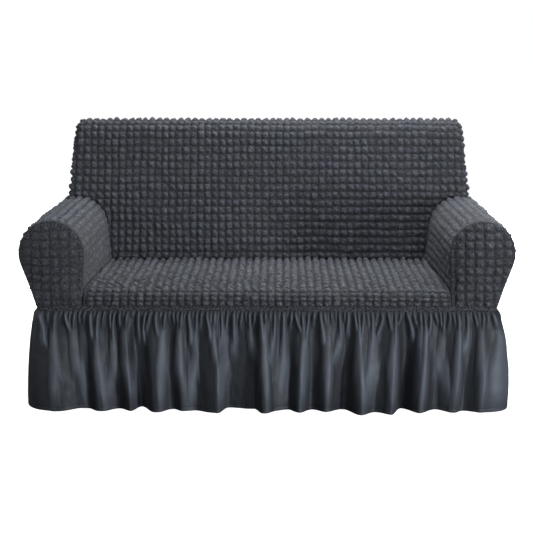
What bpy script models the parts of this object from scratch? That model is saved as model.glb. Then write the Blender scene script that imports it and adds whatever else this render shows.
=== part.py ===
"""Fitted stretch cover for a two-seat sofa, in the shape it has when the sofa fills it.

Bubble-knit panels cover the seat, the back and two rolled arms. They end in a narrow plain
band round the waist, and a gathered skirt hangs from the band to the floor.

Everything is in metres with +Z up. The shapes are worked out with x = 0 on the middle of the
cover, y = 0 on the front of the band and z = 0 at the hem. One empty then moves them so that
the world origin lies on the inner face of the cloth, under the top of the back.
"""

import math

import bmesh
import bpy
from mathutils import Vector

COVER_NAME = "sofa_slipcover"

# Cloth.
SEAM_GAP = 0.0003
BUBBLE_CLOTH = 0.003
BAND_CLOTH = 0.003
SKIRT_CLOTH = 0.002

# Waist band: a rounded rectangle in plan.
BAND_TOP = 0.343
BAND_BOTTOM = 0.316
WAIST_HALF_WIDTH = 0.760
WAIST_DEPTH = 0.865
WAIST_CORNER = 0.030
PANEL_BOTTOM = BAND_TOP + SEAM_GAP

# Seat.
SEAT_HEIGHT = 0.400
SEAT_CROWN = 0.006
SEAT_FLAT_EDGE = 0.040
SEAT_DEPTH = 0.600
SEAT_HALF_WIDTH = 0.6050
SEAT_UNDER_BACK = 0.003
BACK_PANEL_FOOT = SEAT_HEIGHT + 0.0012
NOSE_RADIUS = 0.045
NOSE_FRONT = -0.002

# Arms: an outer line, the roll and an inner line.
ROLL_X = 0.706
ROLL_Z = 0.518
ROLL_RADIUS = 0.108
ARM_OUTER_BASE = 0.757
ARM_INNER_BASE_FRONT = 0.603
ARM_INNER_BASE_REAR = 0.580
ARM_FOOT = SEAT_HEIGHT + 0.0011
ARM_BACK_GAP = 0.0009
ARM_FOOT_ON_NOSE = SEAT_HEIGHT - 0.0025
ARM_FRONT_EDGE = 0.015
ARM_START = ARM_FRONT_EDGE + BUBBLE_CLOTH + SEAM_GAP
ARM_FRONT_INNER = SEAT_HALF_WIDTH + SEAM_GAP
ARM_FRONT_CROWN = 0.024
ARM_FRONT_FOOT = 0.001
ARM_FRONT_RINGS = [0.0, 0.12, 0.34, 0.64, 0.90]
ARM_SPINE_FOOT = (0.685, BAND_TOP + 0.090)
ARM_FOOT_BLEND = 0.060
ARM_FRONT_FOOT_SHARES = [0.0, 0.25, 0.5, 0.75]

# Back: a sloping front face, a round top and flat sides.
BACK_REAR = 0.862
BACK_TOP = 0.907
BACK_TOP_RADIUS = 0.075
BACK_TOP_Y = BACK_REAR - BACK_TOP_RADIUS
BACK_TOP_CENTRE_Z = BACK_TOP - BACK_TOP_RADIUS
BACK_HALF_WIDTH_LOW = 0.748
BACK_HALF_WIDTH_TOP = 0.722
BACK_CORNER = 0.030
BACK_SIDE_REAR_TOP = 0.812
BACK_ARM_LINE = 0.600
BACK_LOW_LEVELS = [0.45, 0.51, 0.56]
BACK_SLOPE_SHARES = [0.18, 0.36, 0.58, 0.80]
BACK_TURN_SHARES = [0.0, 0.14, 0.30, 0.47, 0.66, 0.85, 1.0]
BACK_ACROSS = [-1.0, -0.75, -0.5, -0.25, 0.0, 0.25, 0.5, 0.75, 1.0]
BACK_OVER_ARM = [0.668, 0.690, 0.7175]
BACK_TOWARDS_CORNER = [0.32, 0.66, 1.0]
BACK_OUTS = [0.34, 0.67, 1.0, 1.5, 2.0]
BACK_TUCK = 0.597
ARM_SPLIT = BACK_HALF_WIDTH_LOW + 0.0022

# Skirt.
SKIRT_TOP = BAND_BOTTOM - SEAM_GAP
FLARE_SIDE = 0.024
FLARE_DROP = 0.045
SKIRT_CORNER_HEM = 0.060
GATHER_SHARE = 0.06
HEM_LIFT = 0.0015
STRIP_END_FACET = 0.001

# Front folds from left to right, crests and valleys in turn: (x at the hem, reach in front of
# the band's face).
FRONT_FOLDS = [
    (-0.766, 0.030), (-0.680, 0.050), (-0.594, 0.015), (-0.555, 0.047), (-0.489, 0.021),
    (-0.446, 0.052), (-0.417, -0.008), (-0.367, 0.059), (-0.308, 0.028), (-0.278, 0.052),
    (-0.239, 0.036), (-0.160, 0.070), (-0.127, 0.010), (-0.041, 0.015), (-0.012, 0.070),
    (0.071, 0.028), (0.104, 0.057), (0.150, 0.023), (0.196, 0.056), (0.255, 0.021),
    (0.308, 0.084), (0.354, 0.058), (0.407, 0.082), (0.446, 0.004), (0.505, 0.060),
    (0.558, 0.024), (0.617, 0.051), (0.644, 0.030), (0.703, 0.058), (0.769, 0.034),
]
SIDE_FOLD_PITCH = 0.098
SIDE_FOLD_CREST = 0.024
SIDE_FOLD_VALLEY = -0.018
REAR_FOLD_PITCH = 0.104
REAR_FOLD_CREST = 0.054
REAR_FOLD_VALLEY = 0.014
FRONT_CORNER_REACH = 0.004
REAR_CORNER_REACH = 0.010
FOLD_PLACE_DRIFT = 0.16
FOLD_REACH_DRIFT = 0.30
RIGHT_FOLD_PHASES = {"side_phase": 0.6, "rear_phase": 1.9}
LEFT_FOLD_PHASES = {"side_phase": 2.8, "rear_phase": 0.3}
HEM_WAVE = 37.0

# Facets.
FRONT_STRIP_COLUMNS = 96
SIDE_STRIP_COLUMNS = 36
REAR_STRIP_COLUMNS = 60
SKIRT_LEVELS = [0.0, 0.08, 0.30, 0.64, 1.0]
BAND_COLUMNS = 72
ROLL_STEPS = 14
SEAT_COLUMNS = 12
SEAT_STATIONS = [0.0, 0.018, 0.04, 0.065, 0.09, 0.115, 0.135, 0.20, 0.36, 0.56, 0.78, 1.0]
ARM_STATIONS = [0.0, 0.05, 0.20, 0.40, 0.60, 0.80, 1.0]

GREY_BUBBLE = (0.058, 0.064, 0.077, 1.0)
GREY_BAND = (0.036, 0.039, 0.046, 1.0)
GREY_SKIRT = (0.047, 0.052, 0.063, 1.0)


# ---------------------------------------------------------------- scene, materials, objects


def clear_scene():
    for thing in list(bpy.data.objects):
        bpy.data.objects.remove(thing)
    for mesh in list(bpy.data.meshes):
        bpy.data.meshes.remove(mesh)


def cloth_material(name, colour, roughness, sheen):
    material = bpy.data.materials.new(name)
    material.use_nodes = True
    shader = material.node_tree.nodes["Principled BSDF"]
    shader.inputs["Base Color"].default_value = colour
    shader.inputs["Roughness"].default_value = roughness
    shader.inputs["Metallic"].default_value = 0.0
    shader.inputs["Sheen Weight"].default_value = sheen
    material.diffuse_color = colour
    return material


def cover_frame(collection):
    """The empty that puts the world origin under the top of the back."""
    frame = bpy.data.objects.new("cover_frame", None)
    frame.location = (0.0, -BACK_TOP_Y, -(BACK_TOP - BUBBLE_CLOTH))
    collection.objects.link(frame)
    return frame


def add_sheet(cover, name, mesh, thickness, material):
    """Adds an open surface whose faces look outwards, as cloth that is thickened inwards."""
    sheet = bpy.data.objects.new(name, mesh)
    cover["collection"].objects.link(sheet)
    sheet.parent = cover["frame"]
    mesh.materials.append(material)
    mesh.shade_smooth()
    solidify = sheet.modifiers.new("cloth", "SOLIDIFY")
    solidify.thickness = thickness
    solidify.offset = -1.0
    return sheet


def grid_mesh(name, rows, closed=False):
    """A mesh through rows of points. A cell is left out where one of its corners is None."""
    work = bmesh.new()
    corners = [[work.verts.new(point) if point else None for point in row] for row in rows]
    for low, high in zip(corners, corners[1:]):
        count = len(low) if closed else len(low) - 1
        for i in range(count):
            j = (i + 1) % len(low)
            cell = [low[i], low[j], high[j], high[i]]
            if None not in cell:
                work.faces.new(cell)
    mesh = bpy.data.meshes.new(name)
    work.to_mesh(mesh)
    work.free()
    return mesh


def mirrored(rows):
    """The same rows for the other side, turned so that their faces still look outwards."""
    return [[(-p[0], p[1], p[2]) if p else None for p in reversed(row)] for row in rows]


def between(start, end, share):
    return start + (end - start) * share


# ---------------------------------------------------------------- shapes that panels share


def tangent_angle(centre, radius, point, side):
    """The angle on a circle at which a line from an outside point touches it."""
    across, up = point[0] - centre[0], point[1] - centre[1]
    distance = math.hypot(across, up)
    return math.atan2(up, across) + side * math.acos(radius / distance)


def roll_height(x):
    """Height of the roll's upper side at x."""
    return ROLL_Z + math.sqrt(ROLL_RADIUS**2 - (x - ROLL_X) ** 2)


def seat_point(travel, x):
    """A point on the seat: travel 0 is the bottom of the front drop, 1 the rear edge."""
    drop = NOSE_CENTRE_Z - PANEL_BOTTOM
    turn = NOSE_RADIUS * math.pi / 2
    flat = SEAT_DEPTH + SEAT_UNDER_BACK - NOSE_CENTRE_Y
    along = travel * (drop + turn + flat)
    if along < drop:
        return (x, NOSE_FRONT, PANEL_BOTTOM + along)
    if along < drop + turn:
        angle = (along - drop) / NOSE_RADIUS
        return (
            x,
            NOSE_CENTRE_Y - NOSE_RADIUS * math.cos(angle),
            NOSE_CENTRE_Z + NOSE_RADIUS * math.sin(angle),
        )
    share = (along - drop - turn) / flat
    middle = max(0.0, 1 - (x / (SEAT_HALF_WIDTH - SEAT_FLAT_EDGE)) ** 2)
    crown = SEAT_CROWN * middle * math.sin(math.pi * share)
    return (x, NOSE_CENTRE_Y + share * flat, SEAT_HEIGHT + crown)


NOSE_CENTRE_Y = NOSE_FRONT + NOSE_RADIUS
NOSE_CENTRE_Z = SEAT_HEIGHT - NOSE_RADIUS
BACK_FOOT = (SEAT_DEPTH, SEAT_HEIGHT)
BACK_TURN_START = tangent_angle((BACK_TOP_Y, BACK_TOP_CENTRE_Z), BACK_TOP_RADIUS, BACK_FOOT, -1)
BACK_TURN_START %= 2 * math.pi
BACK_SLOPE_TOP = (
    BACK_TOP_Y + BACK_TOP_RADIUS * math.cos(BACK_TURN_START),
    BACK_TOP_CENTRE_Z + BACK_TOP_RADIUS * math.sin(BACK_TURN_START),
)


def back_front(z):
    """How far back the sloping front face lies at height z."""
    share = (z - BACK_FOOT[1]) / (BACK_SLOPE_TOP[1] - BACK_FOOT[1])
    return between(BACK_FOOT[0], BACK_SLOPE_TOP[0], share)


def back_half_width(z):
    share = (z - roll_height(BACK_HALF_WIDTH_LOW)) / (BACK_TOP - roll_height(BACK_HALF_WIDTH_LOW))
    return between(BACK_HALF_WIDTH_LOW, BACK_HALF_WIDTH_TOP, max(0.0, share))


def back_turn_point(share):
    """A point (y, z) on the round top, from the front face at 0 to the rear seam at 1."""
    angle = BACK_TURN_START * (1 - share)
    return (
        BACK_TOP_Y + BACK_TOP_RADIUS * math.cos(angle),
        BACK_TOP_CENTRE_Z + BACK_TOP_RADIUS * math.sin(angle),
    )


def back_side_point(y, z, rear_z, out):
    """A point on the rounded corner (out 0 to 1) or the flat side (out 1 to 2) of the back."""
    to_rear = Vector((BACK_REAR - y, rear_z - z))
    radius = min(BACK_CORNER, 0.5 * to_rear.length)
    angle = min(out, 1.0) * math.pi / 2
    travel = radius * (1 - math.cos(angle))
    if out > 1:
        travel = between(radius, to_rear.length, out - 1)
    place = Vector((y, z)) + to_rear.normalized() * travel
    x = back_half_width(place.y) - BACK_CORNER * (1 - math.sin(angle))
    return (x, place.x, place.y)


def back_levels():
    """Rows of the back above the arms: (y, z on the front or top, z where it meets the rear)."""
    low = roll_height(BACK_HALF_WIDTH_LOW)
    rows = []
    for share in BACK_SLOPE_SHARES:
        z = between(low, BACK_SLOPE_TOP[1], share)
        rows.append((back_front(z), z))
    for share in BACK_TURN_SHARES:
        rows.append(back_turn_point(share))
    rear_start = rows[0][1]
    levels = []
    for number, (y, z) in enumerate(rows):
        rear_z = between(rear_start, BACK_SIDE_REAR_TOP, number / (len(rows) - 1))
        levels.append((y, z, rear_z))
    return levels


# ---------------------------------------------------------------- panels


def add_seat(cover):
    """Seat panel: the deck, the round nose and the short drop to the band."""
    inner = SEAT_HALF_WIDTH - SEAT_FLAT_EDGE
    xs = [between(-inner, inner, i / SEAT_COLUMNS) for i in range(SEAT_COLUMNS + 1)]
    xs = [-SEAT_HALF_WIDTH] + xs + [SEAT_HALF_WIDTH]
    rows = [[seat_point(travel, x) for x in xs] for travel in SEAT_STATIONS]
    mesh = grid_mesh("seat_panel", rows)
    add_sheet(cover, "seat_panel", mesh, BUBBLE_CLOTH, cover["bubble"])


def arm_profile(inner_base):
    """Right arm's section as (x, z), from the outer base over the roll to the inner base."""
    centre = (ROLL_X, ROLL_Z)
    outer_base = (ARM_OUTER_BASE, PANEL_BOTTOM)
    start = tangent_angle(centre, ROLL_RADIUS, outer_base, 1)
    end = tangent_angle(centre, ROLL_RADIUS, inner_base, -1) % (2 * math.pi)
    angles = [between(start, end, step / ROLL_STEPS) for step in range(ROLL_STEPS + 1)]
    angles.append(math.acos((ARM_SPLIT - ROLL_X) / ROLL_RADIUS))
    roll = []
    for angle in sorted(angles):
        roll.append((ROLL_X + ROLL_RADIUS * math.cos(angle), ROLL_Z + ROLL_RADIUS * math.sin(angle)))
    outer_middle = (between(outer_base[0], roll[0][0], 0.5), between(outer_base[1], roll[0][1], 0.5))
    inner_middle = (between(roll[-1][0], inner_base[0], 0.5), between(roll[-1][1], inner_base[1], 0.5))
    return [outer_base, outer_middle] + roll + [inner_middle, inner_base]


def arm_rows():
    """Right arm, front to rear. Behind the back's face only the columns outside it go on."""
    rows = []
    rear_y = BACK_REAR - SEAM_GAP
    for share in ARM_STATIONS:
        base_x = between(ARM_INNER_BASE_FRONT, ARM_INNER_BASE_REAR, share)
        base_z = ARM_FOOT if share else ARM_FOOT_ON_NOSE
        row = []
        for x, z in reversed(arm_profile((base_x, base_z))):
            stop = back_front(max(z, SEAT_HEIGHT)) - ARM_BACK_GAP
            row.append((x, between(ARM_START, stop, share), z))
        rows.append(row)
    last = rows[-1]
    for share in (0.5, 1.0):
        row = []
        for x, y, z in last:
            outside = x > BACK_HALF_WIDTH_LOW
            row.append((x, between(y, rear_y, share), z) if outside else None)
        rows.append(row)
    return rows


def add_arms(cover):
    """Arm panels: down the outside, over the roll and down the inside to the seat."""
    rows = arm_rows()
    for name, side_rows in (("arm_panel_right", rows), ("arm_panel_left", mirrored(rows))):
        mesh = grid_mesh(name, side_rows)
        add_sheet(cover, name, mesh, BUBBLE_CLOTH, cover["bubble"])


def arm_front_rows():
    """Right arm's front panel: rings from its sewn edge in to a line up its middle."""
    foot = [
        (between(ARM_FRONT_INNER, ARM_OUTER_BASE, share), PANEL_BOTTOM)
        for share in ARM_FRONT_FOOT_SHARES
    ]
    outline = arm_profile((ARM_FRONT_INNER, SEAT_HEIGHT)) + foot
    foot_x, foot_z = ARM_SPINE_FOOT
    rings = []
    for share in ARM_FRONT_RINGS:
        ring = []
        for edge_x, edge_z in outline:
            spine_z = min(max(edge_z, foot_z), ROLL_Z)
            spine_x = between(foot_x, ROLL_X, (spine_z - foot_z) / (ROLL_Z - foot_z))
            x = between(edge_x, spine_x, share)
            z = between(edge_z, spine_z, share)
            above_foot = min(1.0, (z - PANEL_BOTTOM) / ARM_FOOT_BLEND)
            edge_y = between(ARM_FRONT_FOOT, ARM_FRONT_EDGE, above_foot)
            fullness = 1 - (1 - share) ** 2
            ring.append((x, edge_y - ARM_FRONT_CROWN * fullness, z))
        rings.append(ring)
    return rings


def add_arm_fronts(cover):
    """Front panels of the arms, each crowned where the padding fills it."""
    rows = arm_front_rows()
    for name, side in (("arm_front_right", 1), ("arm_front_left", -1)):
        rings = [[(side * x, y, z) for x, y, z in ring] for ring in rows]
        if side < 0:
            rings = [list(reversed(ring)) for ring in rings]
        mesh = grid_mesh(name, rings, closed=True)
        work = bmesh.new()
        work.from_mesh(mesh)
        inner = [edge for edge in work.edges if edge.is_boundary]
        count = len(rings[0])
        inner = [edge for edge in inner if min(v.index for v in edge.verts) >= count]
        bmesh.ops.holes_fill(work, edges=inner)
        bmesh.ops.triangulate(work, faces=[face for face in work.faces if len(face.verts) > 4])
        bmesh.ops.recalc_face_normals(work, faces=work.faces)
        if sum(face.normal.y * face.calc_area() for face in work.faces) > 0:
            bmesh.ops.reverse_faces(work, faces=work.faces)
        work.to_mesh(mesh)
        work.free()
        add_sheet(cover, name, mesh, BUBBLE_CLOTH, cover["bubble"])


def inner_arm_x(z):
    """x of the arm's inner side where it meets the back, at height z below the roll's top."""
    profile = arm_profile((ARM_INNER_BASE_REAR, ARM_FOOT))
    inner = [point for point in profile if point[0] < ROLL_X]
    for (x_high, z_high), (x_low, z_low) in zip(inner, inner[1:]):
        if z_low <= z <= z_high:
            return between(x_low, x_high, (z - z_low) / (z_high - z_low))
    return ARM_INNER_BASE_REAR


def back_rows():
    """The back from the seat up the front and over the top, with its sides turned rearwards.

    Each side's lower edge is tucked a little way down behind the top of the arm.
    """
    low_side_z = roll_height(BACK_HALF_WIDTH_LOW) + SEAM_GAP
    side = []
    for x in BACK_OVER_ARM:
        z = roll_height(x) + SEAM_GAP
        side.append((x, back_front(z), z))
    for out in BACK_OUTS:
        side.append(back_side_point(back_front(low_side_z), low_side_z, low_side_z, out))
    rows = []
    hidden = [None] * len(side)
    for z in [BACK_PANEL_FOOT] + BACK_LOW_LEVELS:
        half = inner_arm_x(z) + BUBBLE_CLOTH
        rows.append(hidden + [(f * half, back_front(z), z) for f in BACK_ACROSS] + hidden)
    flat_side = [out >= 1 for out in BACK_OUTS].count(True)
    tuck = hidden[flat_side:] + [(x, y, BACK_TUCK) for x, y, _ in side[-flat_side:]]
    rows[-1] = both_sides(rows[-1][len(side):-len(side)], tuck)
    half = inner_arm_x(BACK_ARM_LINE) + BUBBLE_CLOTH
    middle = [(f * half, back_front(BACK_ARM_LINE), BACK_ARM_LINE) for f in BACK_ACROSS]
    rows.append(both_sides(middle, side))
    for y, z, rear_z in back_levels():
        reach = back_half_width(z) - BACK_CORNER
        half = min(half, reach)
        middle = [(f * half, y, z) for f in BACK_ACROSS]
        side = [(between(half, reach, share), y, z) for share in BACK_TOWARDS_CORNER]
        side += [back_side_point(y, z, rear_z, out) for out in BACK_OUTS]
        rows.append(both_sides(middle, side))
    return rows


def both_sides(middle, right):
    left = [(-p[0], p[1], p[2]) if p else None for p in reversed(right)]
    return left + middle + right


def add_back(cover):
    """Back panel: inside back, round top and the turned sides in one piece of cloth."""
    mesh = grid_mesh("back_panel", back_rows())
    add_sheet(cover, "back_panel", mesh, BUBBLE_CLOTH, cover["bubble"])


def rear_outline():
    """Right half of the outside back's outline, from the band up to the top, as (x, z)."""
    arm = arm_profile((ARM_INNER_BASE_REAR, ARM_FOOT))
    outline = [point for point in arm if point[0] > BACK_HALF_WIDTH_LOW]
    low_side_z = roll_height(BACK_HALF_WIDTH_LOW) + SEAM_GAP
    outline.append((BACK_HALF_WIDTH_LOW, low_side_z))
    levels = back_levels()
    for _, _, rear_z in levels:
        outline.append((back_half_width(rear_z), rear_z))
    y, z, rear_z = levels[-1]
    for out in reversed(BACK_OUTS[:2]):
        corner = back_side_point(y, z, rear_z, out)
        outline.append((corner[0], corner[2]))
    outline.append((back_half_width(z) - BACK_CORNER, z))
    return outline


def add_outside_back(cover):
    """Outside back: one flat panel behind the back and the arms' rear ends."""
    right = rear_outline()
    outline = right + [(-x, z) for x, z in reversed(right)]
    work = bmesh.new()
    corners = [work.verts.new((x, BACK_REAR + SEAM_GAP + BUBBLE_CLOTH, z)) for x, z in outline]
    face = work.faces.new(corners)
    face.normal_update()
    if face.normal.y < 0:
        face.normal_flip()
    bmesh.ops.triangulate(work, faces=[face])
    mesh = bpy.data.meshes.new("outside_back_panel")
    work.to_mesh(mesh)
    work.free()
    add_sheet(cover, "outside_back_panel", mesh, BUBBLE_CLOTH, cover["bubble"])


# ---------------------------------------------------------------- band and skirt


def ring_point(travel, grow_side, corner):
    """A point in plan on the waist's rounded rectangle, widened, and its outward normal.

    travel is the distance along the band from the middle of the front, positive to the right.
    """
    straight = WAIST_HALF_WIDTH - WAIST_CORNER
    turn = WAIST_CORNER * math.pi / 2
    side = WAIST_DEPTH - 2 * WAIST_CORNER
    half_width = WAIST_HALF_WIDTH + grow_side
    sign = -1.0 if travel < 0 else 1.0
    rest = abs(travel)
    if rest <= straight:
        x, y, normal = rest / straight * (half_width - corner), 0.0, (0.0, -1.0)
    elif rest <= straight + turn:
        angle = (rest - straight) / turn * math.pi / 2
        normal = (math.sin(angle), -math.cos(angle))
        x = half_width - corner + corner * normal[0]
        y = corner + corner * normal[1]
    elif rest <= straight + turn + side:
        share = (rest - straight - turn) / side
        x, y, normal = half_width, between(corner, WAIST_DEPTH - corner, share), (1.0, 0.0)
    elif rest <= straight + 2 * turn + side:
        angle = (rest - straight - turn - side) / turn * math.pi / 2
        normal = (math.cos(angle), math.sin(angle))
        x = half_width - corner + corner * normal[0]
        y = WAIST_DEPTH - corner + corner * normal[1]
    else:
        share = (HALF_WAIST - rest) / straight
        x, y, normal = share * (half_width - corner), WAIST_DEPTH, (0.0, 1.0)
    return (sign * x, y), (sign * normal[0], normal[1])


FRONT_STRAIGHT = WAIST_HALF_WIDTH - WAIST_CORNER
CORNER_TURN = WAIST_CORNER * math.pi / 2
SIDE_STRAIGHT = WAIST_DEPTH - 2 * WAIST_CORNER
HALF_WAIST = 2 * FRONT_STRAIGHT + 2 * CORNER_TURN + SIDE_STRAIGHT
FRONT_STRIP_END = FRONT_STRAIGHT + CORNER_TURN
SIDE_STRIP_END = FRONT_STRIP_END + SIDE_STRAIGHT


def add_band(cover):
    """Plain doubled band round the waist, one closed ring."""
    rows = []
    for z in (BAND_BOTTOM, (BAND_BOTTOM + BAND_TOP) / 2, BAND_TOP):
        row = []
        for i in range(BAND_COLUMNS):
            travel = band_travel(i / BAND_COLUMNS)
            (x, y), _ = ring_point(travel, 0.0, WAIST_CORNER)
            row.append((x, y, z))
        rows.append(row)
    mesh = grid_mesh("waist_band", rows, closed=True)
    add_sheet(cover, "waist_band", mesh, BAND_CLOTH, cover["band"])


def band_travel(share):
    """Distance along the band for a share of the ring, with most steps in the corners."""
    half = abs(2 * share - 1)
    stops = [
        (0.0, 0.0), (0.25, FRONT_STRAIGHT), (0.42, FRONT_STRAIGHT + CORNER_TURN),
        (0.58, FRONT_STRAIGHT + CORNER_TURN + SIDE_STRAIGHT),
        (0.75, FRONT_STRAIGHT + 2 * CORNER_TURN + SIDE_STRAIGHT), (1.0, HALF_WAIST),
    ]
    for (a, start), (b, end) in zip(stops, stops[1:]):
        if half <= b:
            travel = between(start, end, (half - a) / (b - a))
            break
    return travel if share >= 0.5 else -travel


def uneven_folds(start, end, pitch, crest, valley, phase):
    """Crests and valleys in turn between two places, with uneven spacing and reach."""
    count = 2 * round((end - start) / pitch)
    folds = []
    for i in range(1, count):
        place = between(start, end, i / count)
        place += FOLD_PLACE_DRIFT * pitch * math.sin(2.4 * i + phase)
        reach = crest if i % 2 else valley
        folds.append((place, reach * (1 + FOLD_REACH_DRIFT * math.sin(1.7 * i + 2 * phase))))
    return folds


def half_folds(side_phase, rear_phase):
    """Folds from the front corner along one side and half the rear."""
    side = (SIDE_FOLD_PITCH, SIDE_FOLD_CREST, SIDE_FOLD_VALLEY, side_phase)
    rear = (REAR_FOLD_PITCH, REAR_FOLD_CREST, REAR_FOLD_VALLEY, rear_phase)
    folds = [(FRONT_STRIP_END, FRONT_CORNER_REACH)]
    folds += uneven_folds(FRONT_STRIP_END, SIDE_STRIP_END, *side)
    folds += [(SIDE_STRIP_END, REAR_CORNER_REACH)]
    folds += uneven_folds(SIDE_STRIP_END + CORNER_TURN, HALF_WAIST, *rear)
    return folds + [(HALF_WAIST, REAR_FOLD_VALLEY)]


def skirt_folds():
    """All folds round the skirt as (travel along the band, reach), in order of travel."""
    hem_scale = FRONT_STRAIGHT / (WAIST_HALF_WIDTH + FLARE_SIDE - SKIRT_CORNER_HEM)
    front = [(x * hem_scale, reach) for x, reach in FRONT_FOLDS]
    right = half_folds(**RIGHT_FOLD_PHASES)
    left = half_folds(**LEFT_FOLD_PHASES)
    return [(-place, reach) for place, reach in reversed(left)] + front + right


def fold_reach(folds, travel):
    """Reach of the folds at one place: soft waves from crest to valley."""
    for (a, start), (b, end) in zip(folds, folds[1:]):
        if a <= travel <= b:
            share = (1 - math.cos(math.pi * (travel - a) / (b - a))) / 2
            return between(start, end, share)
    return REAR_FOLD_VALLEY


def strip_stations(start, end, columns):
    """Places along a strip, with a narrow facet at each end so that the ends meet squarely."""
    inner = [between(start, end, i / columns) for i in range(1, columns)]
    return [start, start + STRIP_END_FACET] + inner + [end - STRIP_END_FACET, end]


def skirt_rows(start, end, columns, folds):
    """Skirt strip between two places on the band, from its top edge down to the hem."""
    rows = []
    for level in reversed(SKIRT_LEVELS):
        drop = level * (SKIRT_TOP - HEM_LIFT)
        flare = 1 - math.exp(-drop / FLARE_DROP)
        swell = between(GATHER_SHARE, 1.0, math.sin(level * math.pi / 2))
        corner = between(WAIST_CORNER, SKIRT_CORNER_HEM, level)
        row = []
        for travel in strip_stations(start, end, columns):
            (x, y), normal = ring_point(travel, FLARE_SIDE * flare, corner)
            reach = fold_reach(folds, travel) * swell
            lift = HEM_LIFT * level * (1 + math.sin(HEM_WAVE * travel))
            row.append((x + normal[0] * reach, y + normal[1] * reach, SKIRT_TOP - drop + lift))
        rows.append(row)
    return rows


def add_skirt(cover):
    """Skirt of four gathered strips. The seams sit just behind the corners."""
    folds = skirt_folds()
    gap = SEAM_GAP
    strips = [
        ("skirt_front", -FRONT_STRIP_END, FRONT_STRIP_END, FRONT_STRIP_COLUMNS),
        ("skirt_right", FRONT_STRIP_END + gap, SIDE_STRIP_END, SIDE_STRIP_COLUMNS),
        ("skirt_left", -SIDE_STRIP_END, -FRONT_STRIP_END - gap, SIDE_STRIP_COLUMNS),
    ]
    for name, start, end, columns in strips:
        mesh = grid_mesh(name, skirt_rows(start, end, columns, folds))
        add_sheet(cover, name, mesh, SKIRT_CLOTH, cover["skirt"])
    half = REAR_STRIP_COLUMNS // 2
    right = skirt_rows(SIDE_STRIP_END + gap, HALF_WAIST, half, folds)
    left = skirt_rows(-HALF_WAIST, -SIDE_STRIP_END - gap, half, folds)
    rows = [first + second[1:] for first, second in zip(right, left)]
    mesh = grid_mesh("skirt_rear", rows)
    add_sheet(cover, "skirt_rear", mesh, SKIRT_CLOTH, cover["skirt"])


def main():
    clear_scene()
    collection = bpy.data.collections.new(COVER_NAME)
    bpy.context.scene.collection.children.link(collection)
    cover = {
        "collection": collection,
        "frame": cover_frame(collection),
        "bubble": cloth_material("bubble_knit", GREY_BUBBLE, 0.85, 0.25),
        "band": cloth_material("band_knit", GREY_BAND, 0.90, 0.15),
        "skirt": cloth_material("skirt_satin", GREY_SKIRT, 0.55, 0.20),
    }
    add_seat(cover)
    add_arms(cover)
    add_arm_fronts(cover)
    add_back(cover)
    add_outside_back(cover)
    add_band(cover)
    add_skirt(cover)


main()
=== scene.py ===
"""Fitted stretch cover for a two-seat sofa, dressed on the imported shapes.

The panels of bubble knit are quilted surfaces with every bubble shaped, the waist band is a
plain knit ring, and the skirt is four gathered strips. The shapes are worked out in the
cover's own floor frame (x = 0 in the middle, y = 0 on the front of the band, z = 0 at the
hem) and moved to the row's frame when a mesh is made.
"""

import math

import bpy
import numpy as np
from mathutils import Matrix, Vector


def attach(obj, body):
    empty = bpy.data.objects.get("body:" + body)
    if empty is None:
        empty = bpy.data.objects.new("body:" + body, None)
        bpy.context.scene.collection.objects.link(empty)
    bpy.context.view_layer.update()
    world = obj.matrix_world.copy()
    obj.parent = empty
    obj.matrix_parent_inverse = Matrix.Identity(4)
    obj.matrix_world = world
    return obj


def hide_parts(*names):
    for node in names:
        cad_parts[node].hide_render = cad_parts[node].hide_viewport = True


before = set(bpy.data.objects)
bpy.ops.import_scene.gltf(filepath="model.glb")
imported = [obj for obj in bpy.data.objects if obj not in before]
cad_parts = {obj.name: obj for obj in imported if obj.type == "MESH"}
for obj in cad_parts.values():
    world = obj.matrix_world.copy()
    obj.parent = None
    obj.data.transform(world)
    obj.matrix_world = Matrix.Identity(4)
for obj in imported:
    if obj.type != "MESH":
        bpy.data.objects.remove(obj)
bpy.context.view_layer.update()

bl_info = {
    "name": "Sofa Slipcover",
    "version": (1, 0, 0),
    "blender": (4, 5, 0),
    "location": "3D View > Sidebar > Slipcover",
    "description": "Builds a bubble-knit sofa cover with a plain band and a gathered skirt",
    "category": "Object",
}

# Moves points from the floor frame to the row's frame.
TO_ROW = np.array([0.0, -0.787, -0.904])
# A hair's breadth between panels that meet on the arm's roll.
SEAM_GAP = 0.0003

# Band.
BAND_TOP, BAND_BOTTOM, BAND_CLOTH = 0.346, 0.316, 0.003
BAND_BULGE, BAND_INSET, BAND_PUCKER = 0.0011, 0.0004, (0.0006, 0.009)
BAND_FACES = (1100, 8)
WAIST_HALF_WIDTH, WAIST_DEPTH, WAIST_CORNER = 0.760, 0.865, 0.030
PANEL_BOTTOM = 0.3433

# Seat.
SEAT_HALF_WIDTH, SEAT_HEIGHT, SEAT_REAR = 0.605, 0.400, 0.610
SEAT_CROWN, SEAT_FLAT_EDGE = 0.006, 0.040
NOSE_RADIUS, NOSE_FRONT = 0.045, -0.002
NOSE_Y, NOSE_Z = NOSE_FRONT + NOSE_RADIUS, SEAT_HEIGHT - NOSE_RADIUS
NOSE_DROP, NOSE_TURN = NOSE_Z - PANEL_BOTTOM, NOSE_RADIUS * math.pi / 2
SEAT_CLOTH = NOSE_DROP + NOSE_TURN + SEAT_REAR - NOSE_Y
# Rows lie closer round the nose: cloth from the band, and the row's number there.
SEAT_ROWS = ([0.0, 0.021, 0.035, 0.052, 0.082, SEAT_CLOTH], [0.0, 1.0, 2.0, 3.0, 4.0, 25.0])

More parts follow.
